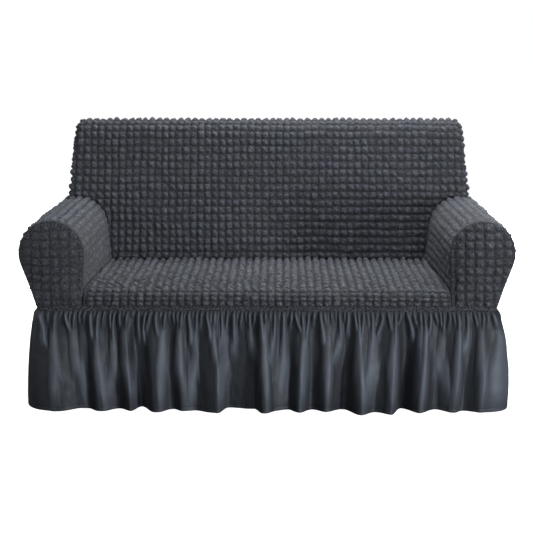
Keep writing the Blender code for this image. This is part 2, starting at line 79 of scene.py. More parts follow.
# Arms. ARM_EDGE is the panel's outer edge, tucked a little way behind the band.
ROLL_X, ROLL_Z, ROLL_RADIUS = 0.706, 0.518, 0.108
ARM_OUTER_BASE = 0.757
ARM_INNER_FRONT, ARM_INNER_REAR = (0.603, 0.3975), (0.580, 0.4011)
ARM_START, ARM_STOP, ARM_REAR = 0.0183, 0.620, 0.8617
ARM_CLOTH = 0.644
ARM_EDGE = ARM_CLOTH + 0.004
ARM_SPLIT, ARM_OVER_ROLL = 0.7502, 0.12
ARM_FRONT_INNER = 0.6053
ARM_FRONT_EDGE, ARM_FRONT_FOOT, ARM_FRONT_CROWN, ARM_FOOT_BLEND = 0.015, 0.001, 0.024, 0.060
ARM_SPINE = ((0.685, 0.433), (ROLL_X, ROLL_Z))

# Back. The shares are the levels at which the side seam is set out, up the slope and the turn.
BACK_REAR, BACK_TOP_Y, BACK_TOP_Z, BACK_TOP_RADIUS = 0.862, 0.787, 0.832, 0.075
BACK_TOP = BACK_TOP_Z + BACK_TOP_RADIUS
BACK_FOOT = (0.600, 0.400)
BACK_PANEL_FOOT, BACK_ARM_LINE = 0.4012, 0.600
BACK_HALF_WIDTH_LOW, BACK_HALF_WIDTH_TOP, BACK_CORNER = 0.748, 0.722, 0.030
BACK_SIDE_REAR_TOP = 0.812
BACK_COLUMN = 0.0267
SLOPE_SHARES = (0.18, 0.36, 0.58, 0.80)
TURN_SHARES = (0.0, 0.14, 0.30, 0.47, 0.66, 0.85, 1.0)
OUTSIDE_BACK_Y = 0.8653

# Skirt. FULLNESS is cloth to seam, and SKIRT_CUT the drop with its hem allowance.
SKIRT_TOP, SKIRT_CLOTH, SKIRT_CUT, FULLNESS = 0.331, 0.0015, 0.341, 1.35
FLARE_SIDE, FLARE_DROP, SKIRT_CORNER_HEM, GATHER_SHARE = 0.015, 0.045, 0.060, 0.06
HEM_LIFT, HEM_WAVE, HEM_BAND = 0.0015, 37.0, 0.018
FRONT_STRAIGHT = WAIST_HALF_WIDTH - WAIST_CORNER
CORNER_TURN = WAIST_CORNER * math.pi / 2
SIDE_STRAIGHT = WAIST_DEPTH - 2 * WAIST_CORNER
HALF_WAIST = 2 * FRONT_STRAIGHT + 2 * CORNER_TURN + SIDE_STRAIGHT
FRONT_STRIP_END = FRONT_STRAIGHT + CORNER_TURN
SIDE_STRIP_END = FRONT_STRIP_END + SIDE_STRAIGHT
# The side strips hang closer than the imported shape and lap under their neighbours.
SIDE_TUCK, STRIP_LAP, LAP_RISE, END_RISE = 0.006, 0.002, 0.0006, 0.0012

# Main folds of the front strip at the hem, in millimetres: (x, reach in front of the band).
FRONT_FOLDS = np.array([
    (-766, 30), (-680, 50), (-594, 15), (-555, 47), (-489, 21), (-446, 52), (-417, -8),
    (-367, 59), (-308, 28), (-278, 52), (-239, 36), (-160, 70), (-127, 10), (-41, 15),
    (-12, 70), (71, 28), (104, 57), (150, 23), (196, 56), (255, 21), (308, 84), (354, 58),
    (407, 82), (446, 4), (505, 60), (558, 24), (617, 51), (644, 30), (703, 58), (769, 34),
]) / 1000
SIDE_FOLDS = {"pitch": 0.098, "crest": 0.024, "valley": -0.018}
REAR_FOLDS = {"pitch": 0.104, "crest": 0.054, "valley": 0.014}
FRONT_CORNER_REACH, REAR_CORNER_REACH = 0.004, 0.010
FOLD_PLACE_DRIFT, FOLD_REACH_DRIFT = 0.16, 0.30
RIGHT_PHASES, LEFT_PHASES = (0.6, 1.9), (2.8, 0.3)

# The front strip's smaller folds, as x in millimetres at four heights from the band down.
GATHERS = np.array([
    -740, -691, -659, -629, -597, -577, -551, -512, -499, -482, -456, -420, -398, -381, -362,
    -332, -306, -277, -254, -228, -195, -169, -146, -127, -107, -81, -55, -39, -19, -3, 27, 56,
    82, 95, 118, 138, 157, 177, 190, 213, 239, 255, 268, 288, 301, 317, 346, 379, 399, 421, 441,
    461, 483, 503, 516, 536, 552, 568, 581, 598, 627, 656, 679, 709, 738,
]) / 1000
UPPER_FOLDS = np.array([
    -698, -635, -602, -557, -504, -468, -416, -340, -285, -235, -176, -137, -104, -55, -9, 23,
    56, 125, 197, 243, 299, 345, 417, 499, 518, 571, 626, 656, 695, 754,
]) / 1000
LOWER_FOLDS = np.array([
    -699, -617, -555, -505, -466, -423, -348, -295, -243, -144, -3, 56, 125, 201, 303, 352,
    411, 513, 569, 630, 710, 746,
]) / 1000
HEM_RIDGES = np.array([
    -718, -613, -540, -435, -352, -257, -154, 4, 47, 119, 202, 327, 419, 515, 621, 647, 716, 746,
]) / 1000
FRONT_LINES = (GATHERS, UPPER_FOLDS, LOWER_FOLDS, HEM_RIDGES)


# ---------------------------------------------------------------- what a user would change


LENGTH = {"subtype": "DISTANCE", "unit": "LENGTH"}
COLOUR = {"subtype": "COLOR", "size": 3, "min": 0.0, "max": 1.0}
POWER = {"subtype": "POWER", "unit": "POWER", "min": 0.0}


class CoverSizes(bpy.types.PropertyGroup):
    """Sizes of the knit and the gathers"""

    bubble_height: bpy.props.FloatProperty(
        name="Bubble Height", description="Rise of a full bubble from its seam to its top",
        default=0.0118, min=0.0, max=0.02, **LENGTH)
    seam_depth: bpy.props.FloatProperty(
        name="Seam Depth", description="How far the seams between bubbles lie under the panel",
        default=0.0045, min=0.0, max=0.008, **LENGTH)
    gather_depth: bpy.props.FloatProperty(
        name="Gather Depth", description="Rise of the small gathers below the band",
        default=0.0125, min=0.0, max=0.015, **LENGTH)
    fold_depth: bpy.props.FloatProperty(
        name="Fold Depth", description="Rise of the middle folds of the skirt",
        default=0.0085, min=0.0, max=0.02, **LENGTH)
    hem_height: bpy.props.FloatProperty(
        name="Hem Height", description="Height of the stitched hem at the skirt's lower edge",
        default=0.012, min=0.005, max=0.04, **LENGTH)


class CoverColours(bpy.types.PropertyGroup):
    """Colours of the three cloths"""

    bubble: bpy.props.FloatVectorProperty(
        name="Bubble Knit", description="Colour of the bubble-knit panels",
        default=(0.0625, 0.0690, 0.0835), **COLOUR)
    band: bpy.props.FloatVectorProperty(
        name="Waist Band", description="Colour of the plain knit band",
        default=(0.027, 0.0305, 0.0375), **COLOUR)
    skirt: bpy.props.FloatVectorProperty(
        name="Skirt", description="Colour of the smooth skirt cloth",
        default=(0.036, 0.041, 0.052), **COLOUR)


class CoverStudio(bpy.types.PropertyGroup):
    """Camera and lights"""

    lens: bpy.props.FloatProperty(
        name="Lens", description="Focal length of the camera, in millimetres",
        default=90.3, min=20.0, max=200.0)
    key_power: bpy.props.FloatProperty(
        name="Key Light", description="Power of the low light at the right",
        default=128.0, **POWER)
    top_power: bpy.props.FloatProperty(
        name="Top Light", description="Power of the near light overhead",
        default=20.0, **POWER)
    front_top_power: bpy.props.FloatProperty(
        name="Front Top Light", description="Power of the high light in front",
        default=30.0, **POWER)
    rear_top_power: bpy.props.FloatProperty(
        name="Rear Top Light", description="Power of the high light behind the back",
        default=60.0, **POWER)
    side_power: bpy.props.FloatProperty(
        name="Side Light", description="Power of the light at the left",
        default=26.0, **POWER)
    low_power: bpy.props.FloatProperty(
        name="Low Light", description="Power of the low light in front",
        default=20.0, **POWER)
    fill_power: bpy.props.FloatProperty(
        name="Fill Light", description="Power of the low light in front at the left",
        default=12.0, **POWER)
    rear_power: bpy.props.FloatProperty(
        name="Rear Light", description="Power of the light that falls on the outside back",
        default=170.0, **POWER)
    ambient: bpy.props.FloatProperty(
        name="Room Light", description="Strength of the even light from above and around",
        default=0.06, min=0.0, max=2.0)


# ---------------------------------------------------------------- small tools


def between(start, end, share):
    return start + (end - start) * share


def soft_step(low, high, value):
    share = np.clip((value - low) / (high - low), 0.0, 1.0)
    return share * share * (3.0 - 2.0 * share)


def hill(distance, width):
    return np.exp(-((distance / width) ** 2))


NOISE_TABLE = (61, 67)


def soft_noise(u, v, spacing, seed):
    """Smooth uneven values from -1 to 1, with a fresh value about every spacing metres."""
    table = np.random.default_rng(seed).uniform(-1.0, 1.0, NOISE_TABLE)
    x, y = u / spacing, v / spacing
    i, j = np.floor(x).astype(int), np.floor(y).astype(int)
    p, q = x - i, y - j
    p, q = p * p * (3 - 2 * p), q * q * (3 - 2 * q)
    across, up = NOISE_TABLE
    low = between(table[i % across, j % up], table[(i + 1) % across, j % up], p)
    i_next, j_next = (i + 1) % across, (j + 1) % up
    high = between(table[i % across, j_next], table[i_next, j_next], p)
    return between(low, high, q)


POINTS_AT_ONCE = 4000


def nearest_on_outline(points, outline):
    """For each point, the nearest point of a closed outline and its distance."""
    runs = np.roll(outline, -1, axis=0) - outline
    lengths = np.maximum((runs ** 2).sum(1), 1e-18)
    nearest = np.empty_like(points)
    distance = np.empty(len(points))
    for low in range(0, len(points), POINTS_AT_ONCE):
        part = slice(low, low + POINTS_AT_ONCE)
        some = points[part]
        offset = some[:, None, :] - outline[None]
        share = np.clip((offset * runs[None]).sum(2) / lengths[None], 0.0, 1.0)
        foot = outline[None] + share[:, :, None] * runs[None]
        gap = ((foot - some[:, None, :]) ** 2).sum(2)
        best = gap.argmin(1)
        rows = np.arange(len(some))
        nearest[part] = foot[rows, best]
        distance[part] = np.sqrt(gap[rows, best])
    return nearest, distance


def inside_outline(points, outline):
    """True for each point that lies inside a closed outline."""
    x, y = points[:, 0], points[:, 1]
    inside = np.zeros(len(points), bool)
    for (x0, y0), (x1, y1) in zip(outline, np.roll(outline, -1, axis=0)):
        if y0 == y1:
            continue
        crosses = (y0 > y) != (y1 > y)
        inside ^= crosses & (x < x0 + (y - y0) / (y1 - y0) * (x1 - x0))
    return inside


def deselect():
    bpy.ops.object.select_all(action="DESELECT")


def cloth_object(name, points, faces, cloth_uv, rise=None):
    """A smooth-shaded object in the row's frame, with a UV map in metres of cloth."""
    mesh = bpy.data.meshes.new(name)
    mesh.from_pydata((points + TO_ROW).tolist(), [], faces)
    corners = np.empty(len(mesh.loops), np.int32)
    mesh.loops.foreach_get("vertex_index", corners)
    layer = mesh.uv_layers.new(name="Cloth")
    layer.data.foreach_set("uv", cloth_uv[corners].astype(np.float32).ravel())
    # The rise is kept as an attribute that the colours use for painted shade and painted
    # highlight.
    if rise is not None:
        height = mesh.attributes.new("rise", "FLOAT", "POINT")
        height.data.foreach_set("value", rise.astype(np.float32))
    mesh.shade_smooth()
    thing = bpy.data.objects.new(name, mesh)
    bpy.context.scene.collection.objects.link(thing)
    return thing


def finish_piece(thing, material, slot, *nodes):
    """Gives a piece its cloth and its place on the body, and hides the imported parts it stands
    for.
    """
    thing.data.materials.append(material)
    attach(thing, "root")
    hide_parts(*nodes)


def thicken(thing, thickness):
    """Gives an open surface its thickness inwards, with closed edges."""
    deselect()
    thing.select_set(True)
    bpy.context.view_layer.objects.active = thing
    solidify = thing.modifiers.new("cloth", "SOLIDIFY")
    solidify.thickness = thickness
    solidify.offset = -1.0
    bpy.ops.object.modifier_apply(modifier=solidify.name)
    deselect()


# ---------------------------------------------------------------- quilted panels


# How the bubbles differ. Each pair is (share, spacing in metres of cloth).
COLUMN_WANDER, ROW_WANDER = (0.10, 0.085), (0.09, 0.095)
PATCHES, CRUMPLES, WRINKLES = (0.16, 0.15), (0.10, 0.011), (0.06, 0.006)
# Ranges of a bubble's rise, of its lean across and along, and of its crease's slant and shift.
RISES, LEAN_ACROSS, LEAN_ALONG = (0.68, 1.22), 0.30, 0.26
SLANTS, CREASE_SHIFT, CREASE_WIDTH = (0.35, 1.1), 0.35, 0.34
# How many bubbles have a crease or a ridge, and how much of their shape is peaked or ridged.
CREASED, RIDGED = 0.70, 0.75
PEAKED_SHARE, RIDGED_SHARE = 0.38, 0.66
DOME_POWER, PEAK_POWER, PEAK_ROOT = 3.2, 5, 0.27
ROW_SEAM_DEPTH, ROW_SEAM_WIDTH = 0.0010, 0.15
# Spare cells in the table of bubbles, because the seams wander past the panel's edges.
SPARE_BEFORE, SPARE_CELLS = 4, 9
# How far the underside lies under the top, and its value for the colour, which gives it painted
# shade.
UNDERSIDE, UNDERSIDE_SHADE = 0.0078, -0.3
NORMAL_STEP, EDGE_SWELL = 0.0004, 0.010
# Corners of a grid face as (row, column) steps, and the way to the face beside each side.
RING = ((0, 0), (0, 1), (1, 1), (1, 0))
BESIDE = ((-1, 0), (0, 1), (1, 0), (0, -1))


def uneven(share_and_spacing, u, v, seed):
    share, spacing = share_and_spacing
    return share * soft_noise(u, v, spacing, seed)


def for_some(rng, chance, shape):
    """A strength from a half to one for some of the bubbles, and none for the others."""
    chosen = rng.uniform(size=shape) < chance
    return np.where(chosen, rng.uniform(0.5, 1.0, shape), 0.0)


def bubble_rise(u, v, look):
    """Height of the knit over the panel at cloth coordinates (u, v).

    Bubbles sit in rows and columns whose seams wander a little. Each has its own rise and its
    own leaning top, most have a slanting ridge, and most a slanting crease. look["along"] lets
    the bubbles of a column run together into a ridge.
    """
    sizes = bpy.context.scene.cover_sizes
    seed, cells = look["seed"], look["cells"]
    x = u / look["pitch"][0] + uneven(COLUMN_WANDER, u, v, seed)
    rows = look["rows"](v) if "rows" in look else v / look["pitch"][1]
    y = rows + uneven(ROW_WANDER, u, v, seed + 1)
    i, j = np.floor(x).astype(int), np.floor(y).astype(int)
    a, b = 2 * (x - i) - 1, 2 * (y - j) - 1
    rng = np.random.default_rng(seed + 2)
    shape = (cells[0] + SPARE_CELLS, cells[1] + SPARE_CELLS)
    rise = rng.uniform(*RISES, shape)
    lean_a = rng.uniform(-LEAN_ACROSS, LEAN_ACROSS, shape)
    lean_b = rng.uniform(-LEAN_ALONG, LEAN_ALONG, shape)
    turn = rng.choice([-1, 1], shape) * rng.uniform(*SLANTS, shape)
    crease = for_some(rng, CREASED, shape)
    shift = rng.uniform(-CREASE_SHIFT, CREASE_SHIFT, shape)
    ridged = for_some(rng, RIDGED, shape)
    cell = ((i + SPARE_BEFORE) % shape[0], (j + SPARE_BEFORE) % shape[1])

    top_a = np.clip(a - lean_a[cell] * (1 - a * a), -1, 1)
    top_b = np.clip(b - lean_b[cell] * (1 - b * b), -1, 1)
    across = np.clip(1 - np.abs(top_a) ** DOME_POWER, 0, 1)
    along = np.clip(1 - np.abs(top_b) ** DOME_POWER, 0, 1)
    held = look["along"](u, v)
    side_b = np.abs(top_b) * (1 - held)
    pyramid = (np.abs(top_a) ** PEAK_POWER + side_b ** PEAK_POWER) ** PEAK_ROOT
    peaked = np.clip(1 - pyramid, 0, 1)
    peak = PEAKED_SHARE * (1 - held)
    full = peak * peaked + (1 - peak) * across * between(along, 1.0, held)
    # The ridges all slant one way; the creases slant either way.
    tilt = np.abs(turn[cell])
    ridge = 1 - np.abs((a - shift[cell]) * np.sin(tilt) + b * np.cos(tilt))
    ridged = RIDGED_SHARE * ridged[cell] * (1 - held)
    full = between(full, np.clip(ridge, 0, 1) * across * along, ridged)
    line = (a - shift[cell]) * np.sin(turn[cell]) + b * np.cos(turn[cell])
    pulled = look["crease"] * crease[cell] * np.clip(1 - np.abs(line) / CREASE_WIDTH, 0, 1)
    pulled = pulled * across * along
    patch = 1 + uneven(PATCHES, u, v, seed + 3)
    fine = uneven(CRUMPLES, u, v, seed + 4) + uneven(WRINKLES, u, v, seed + 5)
    total = sizes.bubble_height * look["height"]
    relief = total * (rise[cell] * patch * (full - pulled) + fine * full)
    row_seam = ROW_SEAM_DEPTH * hill(1 - np.abs(b), ROW_SEAM_WIDTH) * (1 - held)
    return relief - sizes.seam_depth * look["height"] - row_seam * look["height"]


def trimmed(grid, outline):
    """The grid's faces inside the outline, without single teeth or faces that meet at a point."""
    middles = (grid[:-1, :-1] + grid[1:, 1:]) / 2
    keep = inside_outline(middles.reshape(-1, 2), outline).reshape(middles.shape[:2])
    for _ in range(3):
        padded = np.pad(keep, 1)
        beside = (padded[:-2, 1:-1].astype(int) + padded[2:, 1:-1]
                  + padded[1:-1, :-2] + padded[1:-1, 2:])
        keep &= beside > 1
    corner = keep[:-1, :-1] & keep[1:, 1:] & ~keep[:-1, 1:] & ~keep[1:, :-1]
    keep[:-1, :-1] &= ~corner
    corner = keep[:-1, 1:] & keep[1:, :-1] & ~keep[:-1, :-1] & ~keep[1:, 1:]
    keep[:-1, 1:] &= ~corner
    return keep


def numbered(marked, first):
    """Point numbers for the marked corners of a grid, counted from first; -1 elsewhere."""
    number = np.full(marked.shape, -1)
    number[marked] = first + np.arange(marked.sum())
    return number


def corners_of(number, at, order):
    return np.stack([number[at[0] + row, at[1] + column] for row, column in order], 1).tolist()


def quilt_faces(keep, whole, partial, fine, top, below):
    """Faces of the top, of the underside and round the edge."""
    faces = corners_of(top, np.nonzero(keep), RING)
    faces += corners_of(below, np.nonzero(partial), RING[:1] + RING[:0:-1])
    along = np.arange(fine)
    for row, column in np.argwhere(whole) * fine:
        loop = np.concatenate([
            below[row + along, column], below[row + fine, column + along],
            below[row + fine - along, column + fine], below[row, column + fine - along],
        ])
        faces.append(loop[loop >= 0].tolist())
    padded = np.pad(keep, 1)
    rows, columns = keep.shape
    for side, (up, across) in enumerate(BESIDE):
        beside = padded[1 + up:1 + up + rows, 1 + across:1 + across + columns]
        at = np.nonzero(keep & ~beside)
        first, second = RING[side], RING[(side + 1) % 4]
        upper, lower = corners_of(top, at, (second, first)), corners_of(below, at, (first, second))
        faces += [high + low for high, low in zip(upper, lower)]
    return faces


def quilt(name, place, low, cells, fine, outline, look, flip=False):
    """A closed quilted panel.

    place(u, v) gives points of the panel's base surface. The panel is a grid of cells, each
    fine x fine faces, trimmed to the outline. Its underside has one face for each whole cell.
    """
    pitch = look["pitch"]
    us = low[0] + np.arange(cells[0] * fine + 1) * pitch[0] / fine
    vs = low[1] + np.arange(cells[1] * fine + 1) * pitch[1] / fine
    flat = np.stack(np.meshgrid(us, vs), axis=-1)
    keep = trimmed(flat, outline)
    whole = keep.reshape(cells[1], fine, cells[0], fine).all(axis=(1, 3))
    partial = keep & ~np.kron(whole, np.ones((fine, fine), bool))
    padded = np.pad(keep, 1)
    touched = np.stack([padded[:-1, :-1], padded[:-1, 1:], padded[1:, :-1], padded[1:, 1:]])
    used = touched.any(0)
    edge = used & ~touched.all(0)
    under = edge.copy()
    for cell, spacing in ((np.nonzero(partial), 1), (np.nonzero(whole), fine)):
        for row, column in RING:
            under[(cell[0] + row) * spacing, (cell[1] + column) * spacing] = True
    under &= used
    flat[edge] = nearest_on_outline(flat[edge], outline)[0]

    u, v = flat[used, 0], flat[used, 1]
    base = place(u, v)
    normal = np.cross(place(u + NORMAL_STEP, v) - place(u - NORMAL_STEP, v),
                      place(u, v + NORMAL_STEP) - place(u, v - NORMAL_STEP))
    normal /= np.maximum(np.linalg.norm(normal, axis=1, keepdims=True), 1e-12)
    to_edge = nearest_on_outline(flat[used], outline)[1]
    rise = bubble_rise(u, v, look) * look["strength"](u, v)
    if "pucker" in look:
        rise += look["pucker"](u, v, to_edge)
    rise = between(look["edge"], rise, soft_step(0.0, EDGE_SWELL, to_edge))

    top, below = numbered(used, 0), numbered(under, used.sum())
    faces = quilt_faces(keep, whole, partial, fine, top, below)
    above = top[under]
    points = np.concatenate([
        base + normal * rise[:, None], base[above] - normal[above] * UNDERSIDE])
    total = bpy.context.scene.cover_sizes.bubble_height
    # The rise, scaled by the panel's shade, is kept for painted shade in the seams and painted
    # highlight on the bubble tops; the underside gets painted shade.
    shade = np.concatenate([rise / total * look["shade"], np.full(len(above), UNDERSIDE_SHADE)])
    if flip:
        points[:, 0] *= -1
        faces = [face[::-1] for face in faces]
    return cloth_object(name, points, faces, np.concatenate([flat[used], flat[under]]), shade)


def seat_place(u, v):
    """The seat from the bottom of its front drop, round the nose and back to the rear."""
    angle = np.clip(v - NOSE_DROP, 0, NOSE_TURN) / NOSE_RADIUS
    rest = np.maximum(v - NOSE_DROP - NOSE_TURN, 0)
    middle = np.maximum(0, 1 - (u / (SEAT_HALF_WIDTH - SEAT_FLAT_EDGE)) ** 2)
    crown = SEAT_CROWN * middle * np.sin(math.pi * np.clip(rest / (SEAT_REAR - NOSE_Y), 0, 1))
    y = NOSE_Y - NOSE_RADIUS * np.cos(angle) + rest
    z = PANEL_BOTTOM + np.minimum(v, NOSE_DROP) + NOSE_RADIUS * np.sin(angle) + crown
    return np.stack([u, y, z], 1)


def tangent_angle(point, side):
    """Angle on the arm's roll at which a line from an outside point touches it."""
    across, up = point[0] - ROLL_X, point[1] - ROLL_Z
    distance = np.hypot(across, up)
    return np.arctan2(up, across) + side * np.arccos(ROLL_RADIUS / distance)


def roll_height(x):
    return ROLL_Z + np.sqrt(np.maximum(ROLL_RADIUS ** 2 - (x - ROLL_X) ** 2, 0))


OUTER_ANGLE = float(tangent_angle((ARM_OUTER_BASE, PANEL_BOTTOM), 1))


def arm_section(share, inner_x, inner_z):
    """Right arm's section at a share of its length, from the inner base to the outer base."""
    end = tangent_angle((inner_x, inner_z), -1) % (2 * math.pi)
    touch_x, touch_z = ROLL_X + ROLL_RADIUS * np.cos(end), ROLL_Z + ROLL_RADIUS * np.sin(end)
    inner = np.hypot(touch_x - inner_x, touch_z - inner_z)
    arc = ROLL_RADIUS * (end - OUTER_ANGLE)
    start_x = ROLL_X + ROLL_RADIUS * math.cos(OUTER_ANGLE)
    start_z = ROLL_Z + ROLL_RADIUS * math.sin(OUTER_ANGLE)
    outer = math.hypot(start_x - ARM_OUTER_BASE, start_z - PANEL_BOTTOM)
    travel = share * (inner + arc + outer)
    rise = travel / inner
    angle = end - (travel - inner) / ROLL_RADIUS
    fall = (travel - inner - arc) / outer
    on_inner, on_outer = travel < inner, travel > inner + arc
    roll_x, roll_z = ROLL_X + ROLL_RADIUS * np.cos(angle), ROLL_Z + ROLL_RADIUS * np.sin(angle)
    x = np.where(on_inner, between(inner_x, touch_x, rise), roll_x)
    z = np.where(on_inner, between(inner_z, touch_z, rise), roll_z)
    x = np.where(on_outer, between(start_x, ARM_OUTER_BASE, fall), x)
    z = np.where(on_outer, between(start_z, PANEL_BOTTOM, fall), z)
    return x, z


def arm_place(u, v):
    """Right arm panel: u runs round the section, v from the front to the rear.

    Its inner base rises to the seat in the first twelfth of its length.
    """
    share = np.clip((v - ARM_START) / (ARM_STOP - ARM_START), 0, 1)
    inner_x = between(ARM_INNER_FRONT[0], ARM_INNER_REAR[0], share)
    inner_z = between(ARM_INNER_FRONT[1], ARM_INNER_REAR[1], np.minimum(share * 12, 1))
    x, z = arm_section(u / ARM_CLOTH, inner_x, inner_z)
    return np.stack([x, v, z], 1)


def back_front(z):
    share = (z - BACK_FOOT[1]) / (SLOPE_TOP[1] - BACK_FOOT[1])
    return between(BACK_FOOT[0], SLOPE_TOP[0], share)


def back_half_width(z):
    share = (z - SIDE_LOW) / (BACK_TOP - SIDE_LOW)
    return between(BACK_HALF_WIDTH_LOW, BACK_HALF_WIDTH_TOP, np.maximum(share, 0))


def back_turn_start():
    across, up = BACK_FOOT[0] - BACK_TOP_Y, BACK_FOOT[1] - BACK_TOP_Z
    distance = math.hypot(across, up)
    return (math.atan2(up, across) - math.acos(BACK_TOP_RADIUS / distance)) % (2 * math.pi)


TURN_START = back_turn_start()
SLOPE_TOP = (BACK_TOP_Y + BACK_TOP_RADIUS * math.cos(TURN_START),
             BACK_TOP_Z + BACK_TOP_RADIUS * math.sin(TURN_START))
SLOPE_CLOTH = math.hypot(SLOPE_TOP[0] - BACK_FOOT[0], SLOPE_TOP[1] - BACK_FOOT[1])
TURN_CLOTH = BACK_TOP_RADIUS * TURN_START
SIDE_LOW = float(roll_height(BACK_HALF_WIDTH_LOW)) + SEAM_GAP


def slope_travel(z):
    return (z - BACK_FOOT[1]) / (SLOPE_TOP[1] - BACK_FOOT[1]) * SLOPE_CLOTH


def rear_heights():
    """Where each level of the back's side meets the rear: (travel up the panel, height)."""
    levels = [between(SIDE_LOW, SLOPE_TOP[1], share) for share in SLOPE_SHARES]
    travels = [slope_travel(z) for z in levels]
    travels += [SLOPE_CLOTH + TURN_CLOTH * share for share in TURN_SHARES]
    last = len(travels) - 1
    heights = [between(levels[0], BACK_SIDE_REAR_TOP, n / last) for n in range(last + 1)]
    return [0.0, slope_travel(SIDE_LOW)] + travels, [BACK_FOOT[1], SIDE_LOW] + heights


REAR_TRAVELS, REAR_HEIGHTS = rear_heights()


def back_level(v):
    """Point (y, z) on the back's middle line at travel v, and its height at the rear."""
    up = np.minimum(v, SLOPE_CLOTH) / SLOPE_CLOTH
    angle = TURN_START - np.maximum(v - SLOPE_CLOTH, 0) / BACK_TOP_RADIUS
    on_slope = v <= SLOPE_CLOTH
    turn_y = BACK_TOP_Y + BACK_TOP_RADIUS * np.cos(angle)
    turn_z = BACK_TOP_Z + BACK_TOP_RADIUS * np.sin(angle)
    y = np.where(on_slope, between(BACK_FOOT[0], SLOPE_TOP[0], up), turn_y)
    z = np.where(on_slope, between(BACK_FOOT[1], SLOPE_TOP[1], up), turn_z)
    return y, z, np.interp(v, REAR_TRAVELS, REAR_HEIGHTS)


def back_reach(v):
    """Half the flat front at travel v, the corner's radius, and the way to the rear seam."""
    y, z, rear_z = back_level(v)
    length = np.maximum(np.hypot(BACK_REAR - y, rear_z - z), 0.004)
    return back_half_width(z) - BACK_CORNER, np.minimum(BACK_CORNER, length / 2), length


def back_place(u, v):
    """The back: u across from side to side round both corners, v up and over the top."""
    y, z, rear_z = back_level(v)
    half, radius, length = back_reach(v)
    out = np.maximum(np.abs(u) - half, 0)
    turn = radius * math.pi / 2
    angle = np.minimum(out / turn, 1) * math.pi / 2
    travel = np.minimum(radius * (1 - np.cos(angle)) + np.maximum(out - turn, 0), length)
    side_y = y + (BACK_REAR - y) / length * travel
    side_z = z + (rear_z - z) / length * travel
    wide = back_half_width(side_z) - BACK_CORNER * (1 - np.sin(angle))
    x = np.sign(u) * np.where(out > 0, wide, np.abs(u))
    return np.stack([x, side_y, side_z], 1)


def rear_section(share):
    """The arm's section at its rear end."""
    return arm_section(share, *[np.full(len(share), value) for value in ARM_INNER_REAR])


def inner_arm_x(z):
    x, up = rear_section(np.linspace(0, 0.6, 200))
    inner = x < ROLL_X
    return np.interp(z, up[inner], x[inner])


def back_outline():
    """The back panel's edge in cloth coordinates, both halves."""
    right = []
    for z in np.linspace(BACK_PANEL_FOOT, BACK_ARM_LINE, 14):
        right.append((float(inner_arm_x(z)) + 0.003, slope_travel(z)))
    for x in np.linspace(right[-1][0] + 0.004, BACK_HALF_WIDTH_LOW - BACK_CORNER, 10):
        right.append((x, slope_travel(float(roll_height(x)) + SEAM_GAP)))
    for v in np.linspace(slope_travel(SIDE_LOW), SLOPE_CLOTH + TURN_CLOTH, 40):
        half, radius, length = (float(value) for value in back_reach(np.array(v)))
        right.append((half + radius * math.pi / 2 + length - radius, v))
    left = [(-u, v) for u, v in reversed(right)]
    return np.array(right + left)


def arm_outline():
    """The arm panel's edge: its inner part stops at the back, its outer part at the rear."""
    share = np.linspace(0, 1, 241)
    x, z = rear_section(share)
    u = share * ARM_CLOTH
    inner = (x < ARM_SPLIT) & (u < 0.5 * ARM_CLOTH + ARM_OVER_ROLL)
    stops = back_front(np.maximum(z, SEAT_HEIGHT)) + 0.001
    edge = [(a, s) for a, s in zip(u[inner][::4], stops[inner][::4])]
    split = float(u[inner][-1])
    edge += [(split, float(stops[inner][-1])), (split, ARM_REAR), (ARM_EDGE, ARM_REAR)]
    return np.array(edge + [(ARM_EDGE, ARM_START), (0.0, ARM_START)])


def arm_front_outline():
    share = np.linspace(0, 1, 90)
    x, z = arm_section(share, np.full(90, ARM_FRONT_INNER), np.full(90, SEAT_HEIGHT))
    return np.array(list(zip(x, z)) + [(ARM_FRONT_INNER, PANEL_BOTTOM)])


def arm_front_place(u, v):
    """Right arm's front panel, crowned between its edge and a line up its middle."""
    points = np.stack([u, v], 1)
    from_edge = nearest_on_outline(points, arm_front_outline())[1]
    spine = np.array(ARM_SPINE)
    from_spine = nearest_on_outline(points, spine)[1]
    share = from_edge / np.maximum(from_edge + from_spine, 1e-9)
    above = np.clip((v - PANEL_BOTTOM) / ARM_FOOT_BLEND, 0, 1)
    edge_y = between(ARM_FRONT_FOOT, ARM_FRONT_EDGE, above)
    return np.stack([u, edge_y - ARM_FRONT_CROWN * (1 - (1 - share) ** 2), v], 1)


# Small gathers at the arm's front seam: depth, pitch, and where they are deepest and how wide.
FRONT_PUCKER = {"depth": 0.0014, "pitch": 0.0125, "place": 0.012, "reach": 0.011}
ROLL_PUCKER = {"depth": 0.0018, "pitch": 0.0135, "place": 0.014, "reach": 0.016}
PUCKER_DRIFT = 1.5


def puckers(form, along, from_seam, drift):
    wave = np.sin(2 * math.pi * along / form["pitch"] + PUCKER_DRIFT * drift)
    return form["depth"] * wave * hill(from_seam - form["place"], form["reach"])


def front_pucker(u, v, to_edge):
    """Small gathers that point at the seam round the arm's front."""
    around = np.arctan2(v - ROLL_Z, u - ROLL_X) * ROLL_RADIUS
    return puckers(FRONT_PUCKER, around, to_edge, soft_noise(u, v, 0.02, 75))


def roll_pucker(u, v, to_edge):
    """Small gathers on the arm that run back from the seam at its front."""
    drift = soft_noise(u, v, 0.025, 77)
    return puckers(ROLL_PUCKER, u, v - ARM_START, drift) * soft_step(0.10, 0.20, u)


